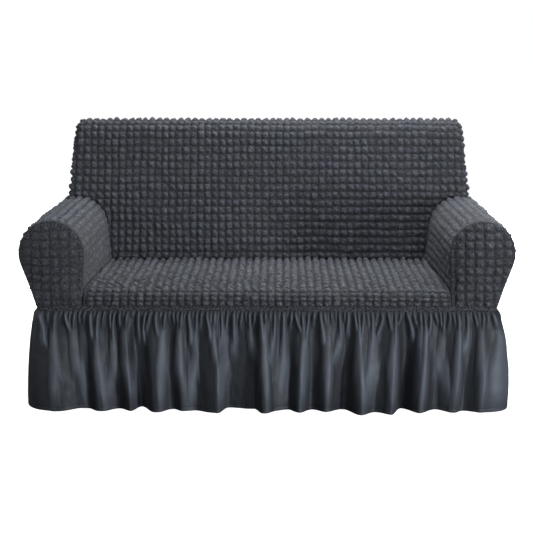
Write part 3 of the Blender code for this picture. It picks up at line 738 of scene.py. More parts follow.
def rear_outline():
    """The outside back's edge as (-x, z), both halves."""
    x, z = rear_section(np.linspace(1, 0.3, 120))
    half = [(a, b) for a, b in zip(x, z) if a > BACK_HALF_WIDTH_LOW]
    half.append((BACK_HALF_WIDTH_LOW, SIDE_LOW))
    for v in np.linspace(REAR_TRAVELS[2], REAR_TRAVELS[-1], 14):
        height = float(np.interp(v, REAR_TRAVELS, REAR_HEIGHTS))
        half.append((float(back_half_width(height)), height))
    top = back_half_width(BACK_TOP_Z) - BACK_CORNER
    for angle in (60, 30, 0):
        turn = math.radians(angle)
        rise = BACK_TOP_Z - 0.01 * (1 - math.cos(turn))
        half.append((float(top) + BACK_CORNER * math.sin(turn), rise))
    return np.array([(-a, b) for a, b in half] + [(a, b) for a, b in reversed(half)])


def outside_back_place(u, v):
    return np.stack([-u, np.full(len(u), OUTSIDE_BACK_Y), v], 1)


# ---------------------------------------------------------------- band and skirt


def ring_points(travel, grow, corner):
    """Points in plan on the waist's rounded rectangle, and the outward normals there."""
    half = WAIST_HALF_WIDTH + grow
    rest = np.abs(travel)
    sign = np.where(travel < 0, -1.0, 1.0)
    ends = np.cumsum([FRONT_STRAIGHT, CORNER_TURN, SIDE_STRAIGHT, CORNER_TURN])
    first = np.clip((rest - ends[0]) / CORNER_TURN, 0, 1) * math.pi / 2
    second = np.clip((rest - ends[2]) / CORNER_TURN, 0, 1) * math.pi / 2
    depth = between(corner, WAIST_DEPTH - corner, np.clip((rest - ends[1]) / SIDE_STRAIGHT, 0, 1))
    zones = [rest <= ends[0], rest <= ends[1], rest <= ends[2], rest <= ends[3]]
    normal_x = np.select(zones, [0 * rest, np.sin(first), 1 + 0 * rest, np.cos(second)], 0.0)
    normal_y = np.select(zones, [0 * rest - 1, -np.cos(first), 0 * rest, np.sin(second)], 1.0)
    x = np.select(zones, [
        rest / FRONT_STRAIGHT * (half - corner), half - corner + corner * normal_x,
        half + 0 * rest, half - corner + corner * normal_x,
    ], (HALF_WAIST - rest) / FRONT_STRAIGHT * (half - corner))
    y = np.select(zones, [
        0 * rest, corner + corner * normal_y, depth, WAIST_DEPTH - corner + corner * normal_y,
    ], WAIST_DEPTH)
    return sign * x, y, sign * normal_x, normal_y


def uneven_folds(start, end, pitch, crest, valley, phase):
    """Crests and valleys in turn between two places, unevenly spaced."""
    count = 2 * round((end - start) / pitch)
    folds = []
    for i in range(1, count):
        place = between(start, end, i / count)
        place += FOLD_PLACE_DRIFT * pitch * math.sin(2.4 * i + phase)
        reach = crest if i % 2 else valley
        folds.append((place, reach * (1 + FOLD_REACH_DRIFT * math.sin(1.7 * i + 2 * phase))))
    return folds


def skirt_folds():
    """All main folds round the skirt as (travel along the band, reach), in order."""
    scale = FRONT_STRAIGHT / (WAIST_HALF_WIDTH + FLARE_SIDE - SKIRT_CORNER_HEM)
    halves = []
    for side_phase, rear_phase in (RIGHT_PHASES, LEFT_PHASES):
        half = [(FRONT_STRIP_END, FRONT_CORNER_REACH)]
        half += uneven_folds(FRONT_STRIP_END, SIDE_STRIP_END, phase=side_phase, **SIDE_FOLDS)
        half += [(SIDE_STRIP_END, REAR_CORNER_REACH)]
        rear_start = SIDE_STRIP_END + CORNER_TURN
        half += uneven_folds(rear_start, HALF_WAIST, phase=rear_phase, **REAR_FOLDS)
        halves.append(half + [(HALF_WAIST, REAR_FOLDS["valley"])])
    front = [(x * scale, reach) for x, reach in FRONT_FOLDS]
    folds = [(-place, reach) for place, reach in reversed(halves[1])] + front + halves[0]
    return np.array(folds)


def fold_reach(folds, travel):
    """Reach of the main folds: soft waves with full crests and narrower valleys."""
    place, reach = folds[:, 0], folds[:, 1]
    at = np.clip(np.searchsorted(place, travel) - 1, 0, len(place) - 2)
    share = np.clip((travel - place[at]) / (place[at + 1] - place[at]), 0, 1)
    return between(reach[at], reach[at + 1], (1 - np.cos(math.pi * share)) / 2)


def ropes(travel, crests, rises, widths, edge=0.9):
    """Rounded folds that stand side by side; where two meet, the higher one shows."""
    away = np.abs(travel[:, None] - crests[None]) / widths[None]
    return (rises[None] * np.clip(1 - away ** 2, 0, 1) ** edge).max(1)


def nearest_of(places, others):
    return others[np.abs(places[:, None] - others[None]).argmin(1)]


# Pitch and drift of the gathers, the upper folds and the lower folds on a strip with no list.
FOLD_PITCHES = ((0.0235, 0.25), (0.052, 0.28), (0.068, 0.25))
CREST_SIDE, CLEAR_OF_END = 0.012, 0.01


def fold_lines(start, end, seed):
    """Travel of gathers, upper folds, lower folds and hem ridges for a strip with none listed."""
    rng = np.random.default_rng(seed)
    lines = []
    for pitch, drift in FOLD_PITCHES:
        count = max(3, round((end - start) / pitch))
        places = start + (np.arange(count) + 0.5) * (end - start) / count
        lines.append(np.sort(places + rng.uniform(-drift, drift, count) * pitch))
    folds = skirt_folds()
    inside = (folds[:, 0] > start + CLEAR_OF_END) & (folds[:, 0] < end - CLEAR_OF_END)
    place, reach = folds[inside, 0], folds[inside, 1]
    crest = reach > reach.mean()
    lines.append(place[crest] + CREST_SIDE)
    return lines


# How far the change reaches on to the neighbouring strip and on to the side strip.
SIDE_BLEND = (0.03, 0.06)


def on_side(rest):
    """1 along the sides, 0 at the front and the rear, with a soft change at each seam."""
    before, after = SIDE_BLEND
    begins = soft_step(FRONT_STRIP_END - before, FRONT_STRIP_END + after, rest)
    ends = soft_step(SIDE_STRIP_END - after, SIDE_STRIP_END + before, rest)
    return begins - ends


HEM_ROWS, GATHERED_DROP = 10, 0.20


def skirt_levels(rows):
    """Shares of the drop from the band to the hem, closest at the gathers and at the hem."""
    hem = 1 - HEM_BAND / (SKIRT_TOP - HEM_LIFT)
    upper = rows * 2 // 5
    top = np.linspace(0, GATHERED_DROP, upper, endpoint=False)
    middle = np.linspace(GATHERED_DROP, hem, rows - upper - HEM_ROWS + 1, endpoint=False)
    return np.concatenate([top, middle, np.linspace(hem, 1, HEM_ROWS)])


# Ranges for the folds, as shares of their depth, metres across, or shares of the drop.
FOLD_RISES = (0.75, 1.15)
GATHER_WIDTHS, UPPER_WIDTHS, LOWER_WIDTHS = (0.0044, 0.0066), (0.011, 0.016), (0.018, 0.027)
GATHER_ENDS, GATHER_TURNS, GATHER_SLIDES = (0.08, 0.34), (-0.02, 0.05), (0.20, 0.60)
# A gap this wide holds a lesser gather: where it stands, its rise and its length.
WIDE_GAP, LESSER_PLACE, LESSER_RISE, LESSER_END = 0.021, 0.45, 0.62, 0.45
# An upper fold this near a lower one runs on into it.
JOINED = 0.022
RIDGE_RISE, RIDGE_WIDTH, RIDGE_SHARE = 0.0055, 0.014, 0.45
CREASES, FINE_CREASES, CREASE_STRETCH = (0.0012, 0.022), (0.0006, 0.009), 0.45
# Where on the drop each kind of fold begins and is complete, turns to the next kind, or fades.
GATHERS_BEGIN, GATHERS_TURN, GATHERS_FADE = (0.0, 0.05), 0.22, 0.08
UPPER_BEGIN, UPPER_TURN = (0.02, 0.28), (0.12, 0.95)
UPPER_FADE, JOINED_FADE = (0.36, 0.60), (0.55, 0.82)
LOWER_BEGIN, LOWER_TURN, LOWER_FADE = (0.34, 0.60), (0.35, 1.0), (0.74, 0.99)
RIDGES_BEGIN, RIDGES_TURN = (0.45, 0.80), (0.35, 0.95)
CREASES_BEGIN, SETTLING, SHADE_CHANGE = (0.0, 0.06), (0.05, 0.30), (0.10, 0.30)
# Gathers start at this share of their depth, and get wider by this much down to the hem.
GATHER_START, GATHER_WIDENING, GATHER_ROUND = 0.25, 3.0, 1.2
UPPER_SHARE, LOWER_SHARE, LOWER_LOSS, SETTLED = 0.85, 0.7, 0.70, 0.45
# GATHER_SHADE scales the gathers' painted shade and painted highlight near the band.
UPPER_NARROW, UPPER_WIDENING, GATHER_SHADE = 0.7, 1.5, 1.15
STAND_OFF, HEM_GROOVE, GROOVE_WIDTH, END_BLEND = 0.0022, 0.0009, 0.0016, 0.012


def skirt_strip(name, start, end, faces, lines, seed, fullness=1.0, end_rise=END_RISE):
    """One gathered strip of the skirt, from its seam on the band down to the hem.

    lines holds the places of the gathers, the upper and the lower folds and the hem's ridges.
    Going down, each fold slides towards the nearest one of the next kind and runs on into it.
    """
    columns, rows = faces
    sizes = bpy.context.scene.cover_sizes
    gathers, upper, lower, hem = (np.asarray(line, float) for line in lines)
    gaps = np.diff(gathers)
    minor = gathers[:-1][gaps > WIDE_GAP] + LESSER_PLACE * gaps[gaps > WIDE_GAP]
    is_minor = np.arange(len(gathers) + len(minor)) >= len(gathers)
    gathers = np.concatenate([gathers, minor])
    rng = np.random.default_rng(seed)
    travel = np.linspace(start, end, columns + 1)
    side = on_side(np.abs(travel))
    main = fold_reach(skirt_folds(), travel) - SIDE_TUCK * side
    to_upper, to_lower, to_hem = (
        nearest_of(gathers, upper), nearest_of(upper, lower), nearest_of(lower, hem))
    from_lower = nearest_of(hem, lower)
    ranges = (FOLD_RISES, GATHER_WIDTHS, GATHER_ENDS, GATHER_TURNS, GATHER_SLIDES)
    gather_rise, gather_width, gather_end, gather_turn, slide = (
        rng.uniform(*span, len(gathers)) for span in ranges)
    gather_rise *= np.where(is_minor, LESSER_RISE, 1.0)
    gather_end *= np.where(is_minor, LESSER_END, 1.0)
    upper_rise, upper_width = (
        rng.uniform(*span, len(upper)) for span in (FOLD_RISES, UPPER_WIDTHS))
    upper_lives = np.abs(upper - to_lower) < JOINED
    lower_rise, lower_width = (
        rng.uniform(*span, len(lower)) for span in (FOLD_RISES, LOWER_WIDTHS))
    hem_width = np.full(len(hem), RIDGE_WIDTH)
    deep, fold = sizes.gather_depth * fullness, sizes.fold_depth * fullness
    drop_full = SKIRT_TOP - HEM_LIFT
    points, cloth_uv, painted_fold_shade = [], [], []
    for level in skirt_levels(rows):
        drop = level * drop_full
        flare = 1 - math.exp(-drop / FLARE_DROP)
        corner = between(WAIST_CORNER, SKIRT_CORNER_HEM, level)
        swell = between(GATHER_SHARE, 1.0, between(math.sin(level * math.pi / 2), level, side))

        def step(low, high, level=level):
            return float(soft_step(low, high, level))

        born = between(GATHER_START, 1.0, step(*GATHERS_BEGIN))
        faded = soft_step(gather_end - GATHERS_FADE, gather_end + GATHERS_FADE, level)
        live = gather_rise * (1 - faded)
        slid = slide * soft_step(gather_turn, gather_turn + GATHERS_TURN, level)
        place = between(gathers, to_upper, slid)
        wide = gather_width * (1 + GATHER_WIDENING * level)
        small = ropes(travel, place, deep * born * live, wide, GATHER_ROUND)
        fading = np.where(upper_lives, 1 - step(*JOINED_FADE), 1 - step(*UPPER_FADE))
        place = between(upper, to_lower, UPPER_SHARE * step(*UPPER_TURN))
        grown = step(*UPPER_BEGIN)
        wide = upper_width * (UPPER_NARROW + UPPER_WIDENING * level)
        middle = ropes(travel, place, fold * grown * upper_rise * fading, wide)
        share = step(*LOWER_BEGIN) * (1 - LOWER_LOSS * step(*LOWER_FADE))
        place = between(lower, to_hem, LOWER_SHARE * step(*LOWER_TURN))
        broad = ropes(travel, place, fold * share * lower_rise, lower_width)
        place = between(from_lower, hem, step(*RIDGES_TURN))
        ridge_rise = np.full(len(hem), RIDGE_RISE * step(*RIDGES_BEGIN))
        sharp = ropes(travel, place, ridge_rise, hem_width)
        relief = (small ** 3 + middle ** 3 + broad ** 3) ** (1 / 3) + RIDGE_SHARE * sharp
        # Kept for the skirt's colour: painted shade in the fold valleys and painted highlight on
        # the crests, taken from the gathers near the band.
        near_band = 1 - step(*SHADE_CHANGE)
        painted_fold_shade.append(between(relief / fold, relief / deep * GATHER_SHADE, near_band))
        down = np.full(len(travel), drop)
        creased = uneven(CREASES, travel, down * CREASE_STRETCH, seed + 7)
        creased += uneven(FINE_CREASES, travel, down * CREASE_STRETCH, seed + 8)
        relief += creased * step(*CREASES_BEGIN) - SETTLED * fold * step(*SETTLING)
        groove = hill(drop_full - drop - sizes.hem_height, GROOVE_WIDTH)
        relief += STAND_OFF - HEM_GROOVE * groove
        at_end = soft_step(0, END_BLEND, np.minimum(travel - start, end - travel))
        reach = main * swell + between(end_rise, relief, at_end)
        x, y, normal_x, normal_y = ring_points(travel, FLARE_SIDE * flare, corner)
        lift = HEM_LIFT * level * (1 + np.sin(HEM_WAVE * travel))
        height = SKIRT_TOP - drop + lift
        points.append(np.stack([x + normal_x * reach, y + normal_y * reach, height], 1))
        cloth_uv.append(np.stack([travel * FULLNESS, -down], 1))
    row = columns + 1
    at = np.arange(len(points) - 1)[:, None] * row + np.arange(columns)[None]
    at = at.reshape(-1)
    squares = np.stack([at, at + row, at + row + 1, at + 1], 1).tolist()
    points, cloth_uv, painted_fold_shade = (np.concatenate(part) for part in (points, cloth_uv, painted_fold_shade))
    strip = cloth_object(name, points, squares, cloth_uv, painted_fold_shade)
    thicken(strip, SKIRT_CLOTH)
    return strip


# ---------------------------------------------------------------- materials


def nodes_of(name):
    material = bpy.data.materials.new(name)
    material.use_nodes = True
    tree = material.node_tree
    return material, tree, tree.nodes["Principled BSDF"]


def set_inputs(node, values):
    for key, value in values.items():
        node.inputs[key].default_value = value


def add_node(tree, kind, inputs=None, **settings):
    node = tree.nodes.new(kind)
    for key, value in settings.items():
        setattr(node, key, value)
    set_inputs(node, inputs or {})
    return node


def ramp(tree, source, stops):
    """A colour ramp of greys or colours on a value."""
    node = tree.nodes.new("ShaderNodeValToRGB")
    while len(node.color_ramp.elements) < len(stops):
        node.color_ramp.elements.new(0.5)
    for element, (place, colour) in zip(node.color_ramp.elements, stops):
        element.position = place
        channels = colour if hasattr(colour, "__len__") else (colour,) * 3
        element.color = (*channels, 1.0)
    tree.links.new(source, node.inputs["Fac"])
    return node.outputs["Color"]


def multiply(tree, first, second):
    node = add_node(
        tree, "ShaderNodeMix", {"Factor": 1.0}, data_type="RGBA", blend_type="MULTIPLY")
    tree.links.new(first, node.inputs["A"])
    tree.links.new(second, node.inputs["B"])
    return node.outputs["Result"]


def noise_node(tree, vector, scale, detail, rough):
    values = {"Scale": scale, "Detail": detail, "Roughness": rough}
    node = add_node(tree, "ShaderNodeTexNoise", values)
    tree.links.new(vector, node.inputs["Vector"])
    return node


def noise(tree, vector, scale, detail=2.0, rough=0.5):
    return noise_node(tree, vector, scale, detail, rough).outputs["Fac"]


def roughen(tree, shader, cloth, scale, low, high):
    """Uneven roughness over the cloth, between two values."""
    rough = ramp(tree, noise(tree, cloth, scale), [(0.3, low), (0.7, high)])
    tree.links.new(rough, shader.inputs["Roughness"])


def waves(tree, cloth, direction, scale, distortion, detail=1.0, detail_scale=1.0):
    """Fine bands on the cloth, for ribs, stitches and twill."""
    node = add_node(tree, "ShaderNodeTexWave", {
        "Scale": scale, "Distortion": distortion, "Detail": detail, "Detail Scale": detail_scale},
        wave_type="BANDS", bands_direction=direction)
    tree.links.new(cloth, node.inputs["Vector"])
    return node.outputs


def raised(tree, height, strength, distance, under=None):
    """A bump from a height, over another bump where one is given."""
    node = add_node(tree, "ShaderNodeBump", {"Strength": strength, "Distance": distance})
    tree.links.new(height, node.inputs["Height"])
    if under:
        tree.links.new(under, node.inputs["Normal"])
    return node.outputs["Normal"]


def object_place(tree):
    return add_node(tree, "ShaderNodeTexCoord").outputs["Object"]


def cloth_place(tree):
    return add_node(tree, "ShaderNodeUVMap", uv_map="Cloth").outputs["UV"]


# The rise kept on each mesh, which the knit and skirt colours use for painted shade and painted
# highlight.
def shape_rise(tree):
    kind = {"attribute_type": "GEOMETRY", "attribute_name": "rise"}
    return add_node(tree, "ShaderNodeAttribute", **kind).outputs["Fac"]


def crumpled_height(tree, cloth, scale):
    """Height of small sharp folds: uneven facets that meet in creases."""
    drift = noise_node(tree, cloth, 60.0, 2.0, 0.6)
    small = add_node(tree, "ShaderNodeVectorMath", {"Scale": 0.016}, operation="SCALE")
    tree.links.new(drift.outputs["Color"], small.inputs[0])
    moved = add_node(tree, "ShaderNodeVectorMath", operation="ADD")
    tree.links.new(cloth, moved.inputs[0])
    tree.links.new(small.outputs["Vector"], moved.inputs[1])
    facets = add_node(tree, "ShaderNodeTexVoronoi", {"Scale": scale}, feature="DISTANCE_TO_EDGE")
    tree.links.new(moved.outputs["Vector"], facets.inputs["Vector"])
    return facets.outputs["Distance"]


def tinted(colour, share):
    return tuple(min(1.0, channel * share) for channel in colour)


def tints(colour, stops):
    """Stops of a ramp, each a place and a share of the colour."""
    return [(place, tinted(colour, share)) for place, share in stops]


def bubble_material():
    """Stretch knit: painted shade in the seams and creases, painted highlight on the bubble tops,
    faintly blue in patches.
    """
    colour = tuple(bpy.context.scene.cover_colours.bubble)
    material, tree, shader = nodes_of("bubble_cloth")
    place, cloth = object_place(tree), cloth_place(tree)
    # Painted shade and painted highlight: the kept rise darkens the colour in the seams and
    # lightens it on the bubble tops.
    lift = add_node(tree, "ShaderNodeMapRange", {"From Min": -0.80, "From Max": 0.80})
    tree.links.new(shape_rise(tree), lift.inputs["Value"])
    base = ramp(tree, lift.outputs["Result"], tints(colour, (
        (0.0, 0.12), (0.24, 0.44), (0.49, 0.68), (0.69, 1.12), (0.97, 1.46))))
    bluish = ramp(tree, noise(tree, place, 9.0, 3.0), [
        (0.30, (0.90, 0.92, 1.00)), (0.62, (1.02, 1.01, 0.99))])
    mottled = ramp(tree, noise(tree, cloth, 180.0, 4.0, 0.75), [(0.34, 0.52), (0.66, 1.48)])
    crumpled = crumpled_height(tree, cloth, 78.0)
    # Painted shade: the colour is darker along the crumple's creases.
    creased = ramp(tree, crumpled, [(0.0, 0.42), (0.12, 0.95), (0.5, 1.12)])
    shaded = multiply(tree, multiply(tree, multiply(tree, base, bluish), mottled), creased)
    tree.links.new(shaded, shader.inputs["Base Color"])
    roughen(tree, shader, cloth, 40.0, 0.74, 0.90)
    set_inputs(shader, {
        "Sheen Weight": 0.10, "Sheen Roughness": 0.45, "Specular IOR Level": 0.35})
    stitches = waves(tree, cloth, "X", 190.0, 1.6, 2.0, 1.5)
    rows = waves(tree, cloth, "Y", 150.0, 2.2, 2.0, 1.5)
    knit = multiply(tree, stitches["Color"], rows["Color"])
    crinkle = raised(tree, crumpled, 1.0, 0.0034)
    tree.links.new(raised(tree, knit, 0.35, 0.0005, crinkle), shader.inputs["Normal"])
    return material


def band_material():
    """Plain knit with fine upright ribs and a fleck."""
    colour = tuple(bpy.context.scene.cover_colours.band)
    material, tree, shader = nodes_of("band_cloth")
    cloth = cloth_place(tree)
    fleck = ramp(tree, noise(tree, cloth, 200.0, 3.0, 0.7), tints(colour, (
        (0.40, 0.20), (0.50, 0.95), (0.61, 3.6))))
    patches = ramp(tree, noise(tree, cloth, 14.0), [(0.3, 0.88), (0.7, 1.12)])
    tree.links.new(multiply(tree, fleck, patches), shader.inputs["Base Color"])
    roughen(tree, shader, cloth, 60.0, 0.80, 0.95)
    set_inputs(shader, {"Sheen Weight": 0.12, "Specular IOR Level": 0.30})
    ribs = waves(tree, cloth, "X", 130.0, 0.6)
    tree.links.new(raised(tree, ribs["Fac"], 0.6, 0.0007), shader.inputs["Normal"])
    return material


def skirt_material():
    """Smooth woven cloth with a soft lustre and a fine slanting twill, and painted shade in the
    fold valleys with painted highlight on the crests.
    """
    colour = tuple(bpy.context.scene.cover_colours.skirt)
    material, tree, shader = nodes_of("skirt_cloth")
    place, cloth = object_place(tree), cloth_place(tree)
    base = ramp(tree, noise(tree, place, 11.0, 4.0), tints(colour, ((0.28, 0.86), (0.72, 1.14))))
    thread = ramp(tree, noise(tree, cloth, 420.0, 2.0), [(0.3, 0.90), (0.7, 1.10)])
    # Painted shade and painted highlight: darker in the fold valleys, lighter on the crests.
    painted_fold_light = ramp(tree, shape_rise(tree), [
        (0.0, 0.34), (0.40, 0.86), (0.75, 1.30), (1.0, 1.90)])
    shaded = multiply(tree, multiply(tree, base, thread), painted_fold_light)
    tree.links.new(shaded, shader.inputs["Base Color"])
    roughen(tree, shader, cloth, 30.0, 0.52, 0.62)
    set_inputs(shader, {
        "Sheen Weight": 0.10, "Sheen Roughness": 0.40, "Specular IOR Level": 0.50,
        "Specular Tint": (0.80, 0.90, 1.0, 1.0)})
    twill = waves(tree, cloth, "DIAGONAL", 260.0, 0.4)
    crumple = raised(tree, noise(tree, cloth, 55.0, 3.0, 0.55), 0.35, 0.0016)
    normal = raised(tree, twill["Fac"], 0.25, 0.0003, crumple)
    tree.links.new(normal, shader.inputs["Normal"])
    return material


MATERIALS = {
    "bubble_cloth": bubble_material, "band_cloth": band_material, "skirt_cloth": skirt_material}


def material_named(name):
    """The cover's material of that name, made on first use."""
    return bpy.data.materials.get(name) or MATERIALS[name]()


# ---------------------------------------------------------------- operators


# Cells across and up, and faces along each side of a cell, for each panel.
SEAT_CELLS, BACK_CELLS, REAR_CELLS = ((45, 24), 8), ((74, 24), 7), ((62, 19), 6)
ARM_CELLS, ARM_FRONT_CELLS = ((24, 32), 7), ((7, 10), 9)


def everywhere(value):
    return lambda u, v: np.full(np.shape(u), value)


def knit_look(seed, cells, pitch, height, edge, **more):
    """How a panel is quilted: what most panels share, and what is given for this one."""
    # shade sets how strongly the rise paints shade into the seams and highlight on the bubbles.
    return {
        "seed": seed, "cells": cells, "pitch": pitch, "height": height, "edge": edge,
        "crease": 0.26, "shade": 1.0, "strength": everywhere(1.0), **more}


def extent(outline, cells):
    """Lowest corner, size and pitch of the cells that fill an outline."""
    low, high = outline.min(0), outline.max(0)
    size = (float(high[0] - low[0]), float(high[1] - low[1]))
    return tuple(low), size, (size[0] / cells[0], size[1] / cells[1])


class COVER_OT_seat(bpy.types.Operator):
    """Quilt the seat panel: the deck, its round front edge and the short drop to the band"""

    bl_idname = "cover.seat"
    bl_label = "Seat Panel"

    def execute(self, context):
        cells, fine = SEAT_CELLS
        pitch = (2 * SEAT_HALF_WIDTH / cells[0], SEAT_CLOTH / cells[1])
        edge = np.array([
            (-SEAT_HALF_WIDTH, 0), (SEAT_HALF_WIDTH, 0), (SEAT_HALF_WIDTH, SEAT_CLOTH),
            (-SEAT_HALF_WIDTH, SEAT_CLOTH)])

        def strength(u, v):
            return 1.1 - 0.20 * soft_step(0.02, 0.04, v) + 0.38 * soft_step(0.05, 0.10, v)

        look = knit_look(
            11, cells, pitch, 0.95, -0.003, crease=0.55, shade=1.6, strength=strength,
            rows=lambda v: np.interp(v, *SEAT_ROWS),
            along=lambda u, v: 0.08 + 0.42 * soft_step(0.12, 0.36, v))
        seat = quilt("seat_quilt", seat_place, (-SEAT_HALF_WIDTH, 0.0), cells, fine, edge, look)
        finish_piece(seat, material_named("bubble_cloth"), "bubble_knit", "seat_panel")
        return {"FINISHED"}


class COVER_OT_back(bpy.types.Operator):
    """Quilt the back panel: the inside back, its round top and the two turned sides"""

    bl_idname = "cover.back"
    bl_label = "Back Panel"

    def execute(self, context):
        cells, fine = BACK_CELLS
        pitch = (BACK_COLUMN, (SLOPE_CLOTH + TURN_CLOTH) / cells[1])
        outline = back_outline()
        look = knit_look(23, cells, pitch, 1.0, -0.002, along=everywhere(0.06))
        start = -cells[0] / 2 * pitch[0]
        back = quilt("back_quilt", back_place, (start, 0.0), cells, fine, outline, look)
        finish_piece(back, material_named("bubble_cloth"), "bubble_knit", "back_panel")
        return {"FINISHED"}


class COVER_OT_outside_back(bpy.types.Operator):
    """Quilt the flat panel behind the back and the arms' rear ends"""

    bl_idname = "cover.outside_back"
    bl_label = "Outside Back"

    def execute(self, context):
        cells, fine = REAR_CELLS
        outline = rear_outline()
        low, size, pitch = extent(outline, cells)
        look = knit_look(37, cells, pitch, 0.80, -0.001, along=everywhere(0.10))
        rear = quilt("outside_back_quilt", outside_back_place, low, cells, fine, outline, look)
        finish_piece(rear, material_named("bubble_cloth"), "bubble_knit", "outside_back_panel")
        return {"FINISHED"}


class COVER_OT_arms(bpy.types.Operator):
    """Quilt both arm panels: up the outside, over the roll and down to the seat"""

    bl_idname = "cover.arms"
    bl_label = "Arm Panels"

    def execute(self, context):
        cells, fine = ARM_CELLS
        pitch = (ARM_EDGE / cells[0], (ARM_REAR - ARM_START) / cells[1])
        outline, start = arm_outline(), (0.0, ARM_START)
        for side, flip, seed in (("right", False, 53), ("left", True, 41)):
            look = knit_look(
                seed, cells, pitch, 0.90, -0.002, crease=0.50, shade=1.8, pucker=roll_pucker,
                along=lambda u, v: 0.72 * hill(u - 0.30, 0.15),
                strength=lambda u, v: between(0.60, 1.0, soft_step(0.14, 0.25, u)))
            arm = quilt(f"arm_quilt_{side}", arm_place, start, cells, fine, outline, look, flip)
            finish_piece(arm, material_named("bubble_cloth"), "bubble_knit", f"arm_panel_{side}")
        return {"FINISHED"}


class COVER_OT_arm_fronts(bpy.types.Operator):
    """Quilt the front panel of each arm"""

    bl_idname = "cover.arm_fronts"
    bl_label = "Arm Fronts"

    def execute(self, context):
        cells, fine = ARM_FRONT_CELLS
        outline = arm_front_outline()
        low, size, pitch = extent(outline, cells)
        for side, flip, seed, height in (("right", False, 67, 0.95), ("left", True, 61, 0.45)):
            look = knit_look(
                seed, cells, pitch, height, -0.0015, along=everywhere(0.05), pucker=front_pucker)
            name = f"arm_front_quilt_{side}"
            front = quilt(name, arm_front_place, low, cells, fine, outline, look, flip)
            finish_piece(front, material_named("bubble_cloth"), "bubble_knit", f"arm_front_{side}")
        return {"FINISHED"}


class COVER_OT_band(bpy.types.Operator):
    """Make the plain knit band round the waist, one closed ring"""

    bl_idname = "cover.band"
    bl_label = "Waist Band"

    def execute(self, context):
        around, up = BAND_FACES
        travel = -HALF_WAIST + np.arange(around) * 2 * HALF_WAIST / around
        x, y, normal_x, normal_y = ring_points(travel, 0.0, WAIST_CORNER)
        points, cloth_uv = [], []
        for step in range(up + 1):
            share = step / up
            bulge = BAND_BULGE * math.sin(math.pi * share) - BAND_INSET
            pucker = uneven(BAND_PUCKER, travel, np.full(around, share * 0.03), 71)
            reach = bulge + pucker * (0.4 + 0.6 * abs(2 * share - 1))
            z = np.full(around, between(BAND_BOTTOM, BAND_TOP, share))
            points.append(np.stack([x + normal_x * reach, y + normal_y * reach, z], 1))
            cloth_uv.append(np.stack([travel, z], 1))
        faces = []
        for step in range(up):
            for i in range(around):
                j = (i + 1) % around
                low, high = step * around, (step + 1) * around
                faces.append([low + i, low + j, high + j, high + i])
        points, cloth_uv = np.concatenate(points), np.concatenate(cloth_uv)
        band = cloth_object("waist_band_knit", points, faces, cloth_uv)
        thicken(band, BAND_CLOTH)
        finish_piece(band, material_named("band_cloth"), "band_knit", "waist_band")
        return {"FINISHED"}


# Faces along and down each strip, and the side strips' share of the front's fullness.
FRONT_FACES, SIDE_FACES, REAR_HALF_FACES = (800, 56), (300, 44), (220, 44)
SIDE_FULLNESS, MERGE_DISTANCE = 0.75, 0.00002


class COVER_OT_skirt(bpy.types.Operator):
    """Gather the four strips of the skirt on to the band"""

    bl_idname = "cover.skirt"
    bl_label = "Gathered Skirt"

    def execute(self, context):
        end = FRONT_STRIP_END
        strip = skirt_strip("skirt_front_cloth", -end, end, FRONT_FACES, FRONT_LINES, 101)
        self.finish(strip, "skirt_front", 2 * end)
        near, far = FRONT_STRIP_END - STRIP_LAP, SIDE_STRIP_END + STRIP_LAP
        for side, start, end, seed in (("right", near, far, 103), ("left", -far, -near, 107)):
            lines, name = fold_lines(start, end, seed), f"skirt_{side}_cloth"
            look = (seed, SIDE_FULLNESS, LAP_RISE)
            strip = skirt_strip(name, start, end, SIDE_FACES, lines, *look)
            self.finish(strip, f"skirt_{side}", end - start)
        self.rear_strip()
        return {"FINISHED"}

    def rear_strip(self):
        """The rear strip crosses the seam of the travel count, so its two halves are joined."""
        halves = []
        for start, end, seed in (
            (SIDE_STRIP_END, HALF_WAIST, 109), (-HALF_WAIST, -SIDE_STRIP_END, 113)):
            lines = fold_lines(start, end, seed)
            name = f"rear_half_{seed}"
            halves.append(skirt_strip(name, start, end, REAR_HALF_FACES, lines, seed))
        deselect()
        for half in halves:
            half.select_set(True)
        bpy.context.view_layer.objects.active = halves[0]
        bpy.ops.object.join()
        bpy.ops.object.mode_set(mode="EDIT")
        bpy.ops.mesh.select_all(action="SELECT")
        bpy.ops.mesh.remove_doubles(threshold=MERGE_DISTANCE)
        bpy.ops.mesh.select_all(action="DESELECT")
        bpy.ops.object.mode_set(mode="OBJECT")
        rear = halves[0]
        rear.name = rear.data.name = "skirt_rear_cloth"
        deselect()
        self.finish(rear, "skirt_rear", 2 * (HALF_WAIST - SIDE_STRIP_END))

    def finish(self, strip, node, length):
        finish_piece(strip, material_named("skirt_cloth"), "skirt_satin", node)


# Place, target and size of each light; its power is the setting of the same name.
LIGHTS = {
    "key": ((3.3, -3.8, -0.30), (0.1, -0.8, -0.6), (0.55, 1.20)),
    "top": ((0.40, -0.34, 1.15), (0.05, -0.36, -0.5), (1.4, 0.5)),
    "front_top": ((1.7, -1.9, 2.1), (0.2, -0.3, -0.4), (2.0, 1.0)),
    "rear_top": ((0.3, 0.9, 2.2), (0.0, -0.4, -0.4), (2.0, 0.8)),
    "side": ((-3.4, -0.7, 0.5), (0.0, -0.4, -0.4), (0.9, 0.9)),
    "low": ((0.6, -4.0, -0.5), (0.0, -0.6, -0.6), (1.2, 0.6)),
    "fill": ((-2.6, -3.4, -0.45), (0.0, -0.8, -0.6), (1.0, 0.7)),
    "rear": ((1.2, 4.0, 0.5), (0.0, 0.1, -0.5), (2.0, 1.2)),
}
CAMERA_PLACE, CAMERA_PITCH, CAMERA_YAW = (0.045, -5.087, 0.336), math.radians(10.03), 0.01047
SENSOR_WIDTH = 36.0
FLOOR_SIZE, FLOOR_DROP = 24.0, 0.0005
WHITE = (1.0, 1.0, 1.0, 1.0)


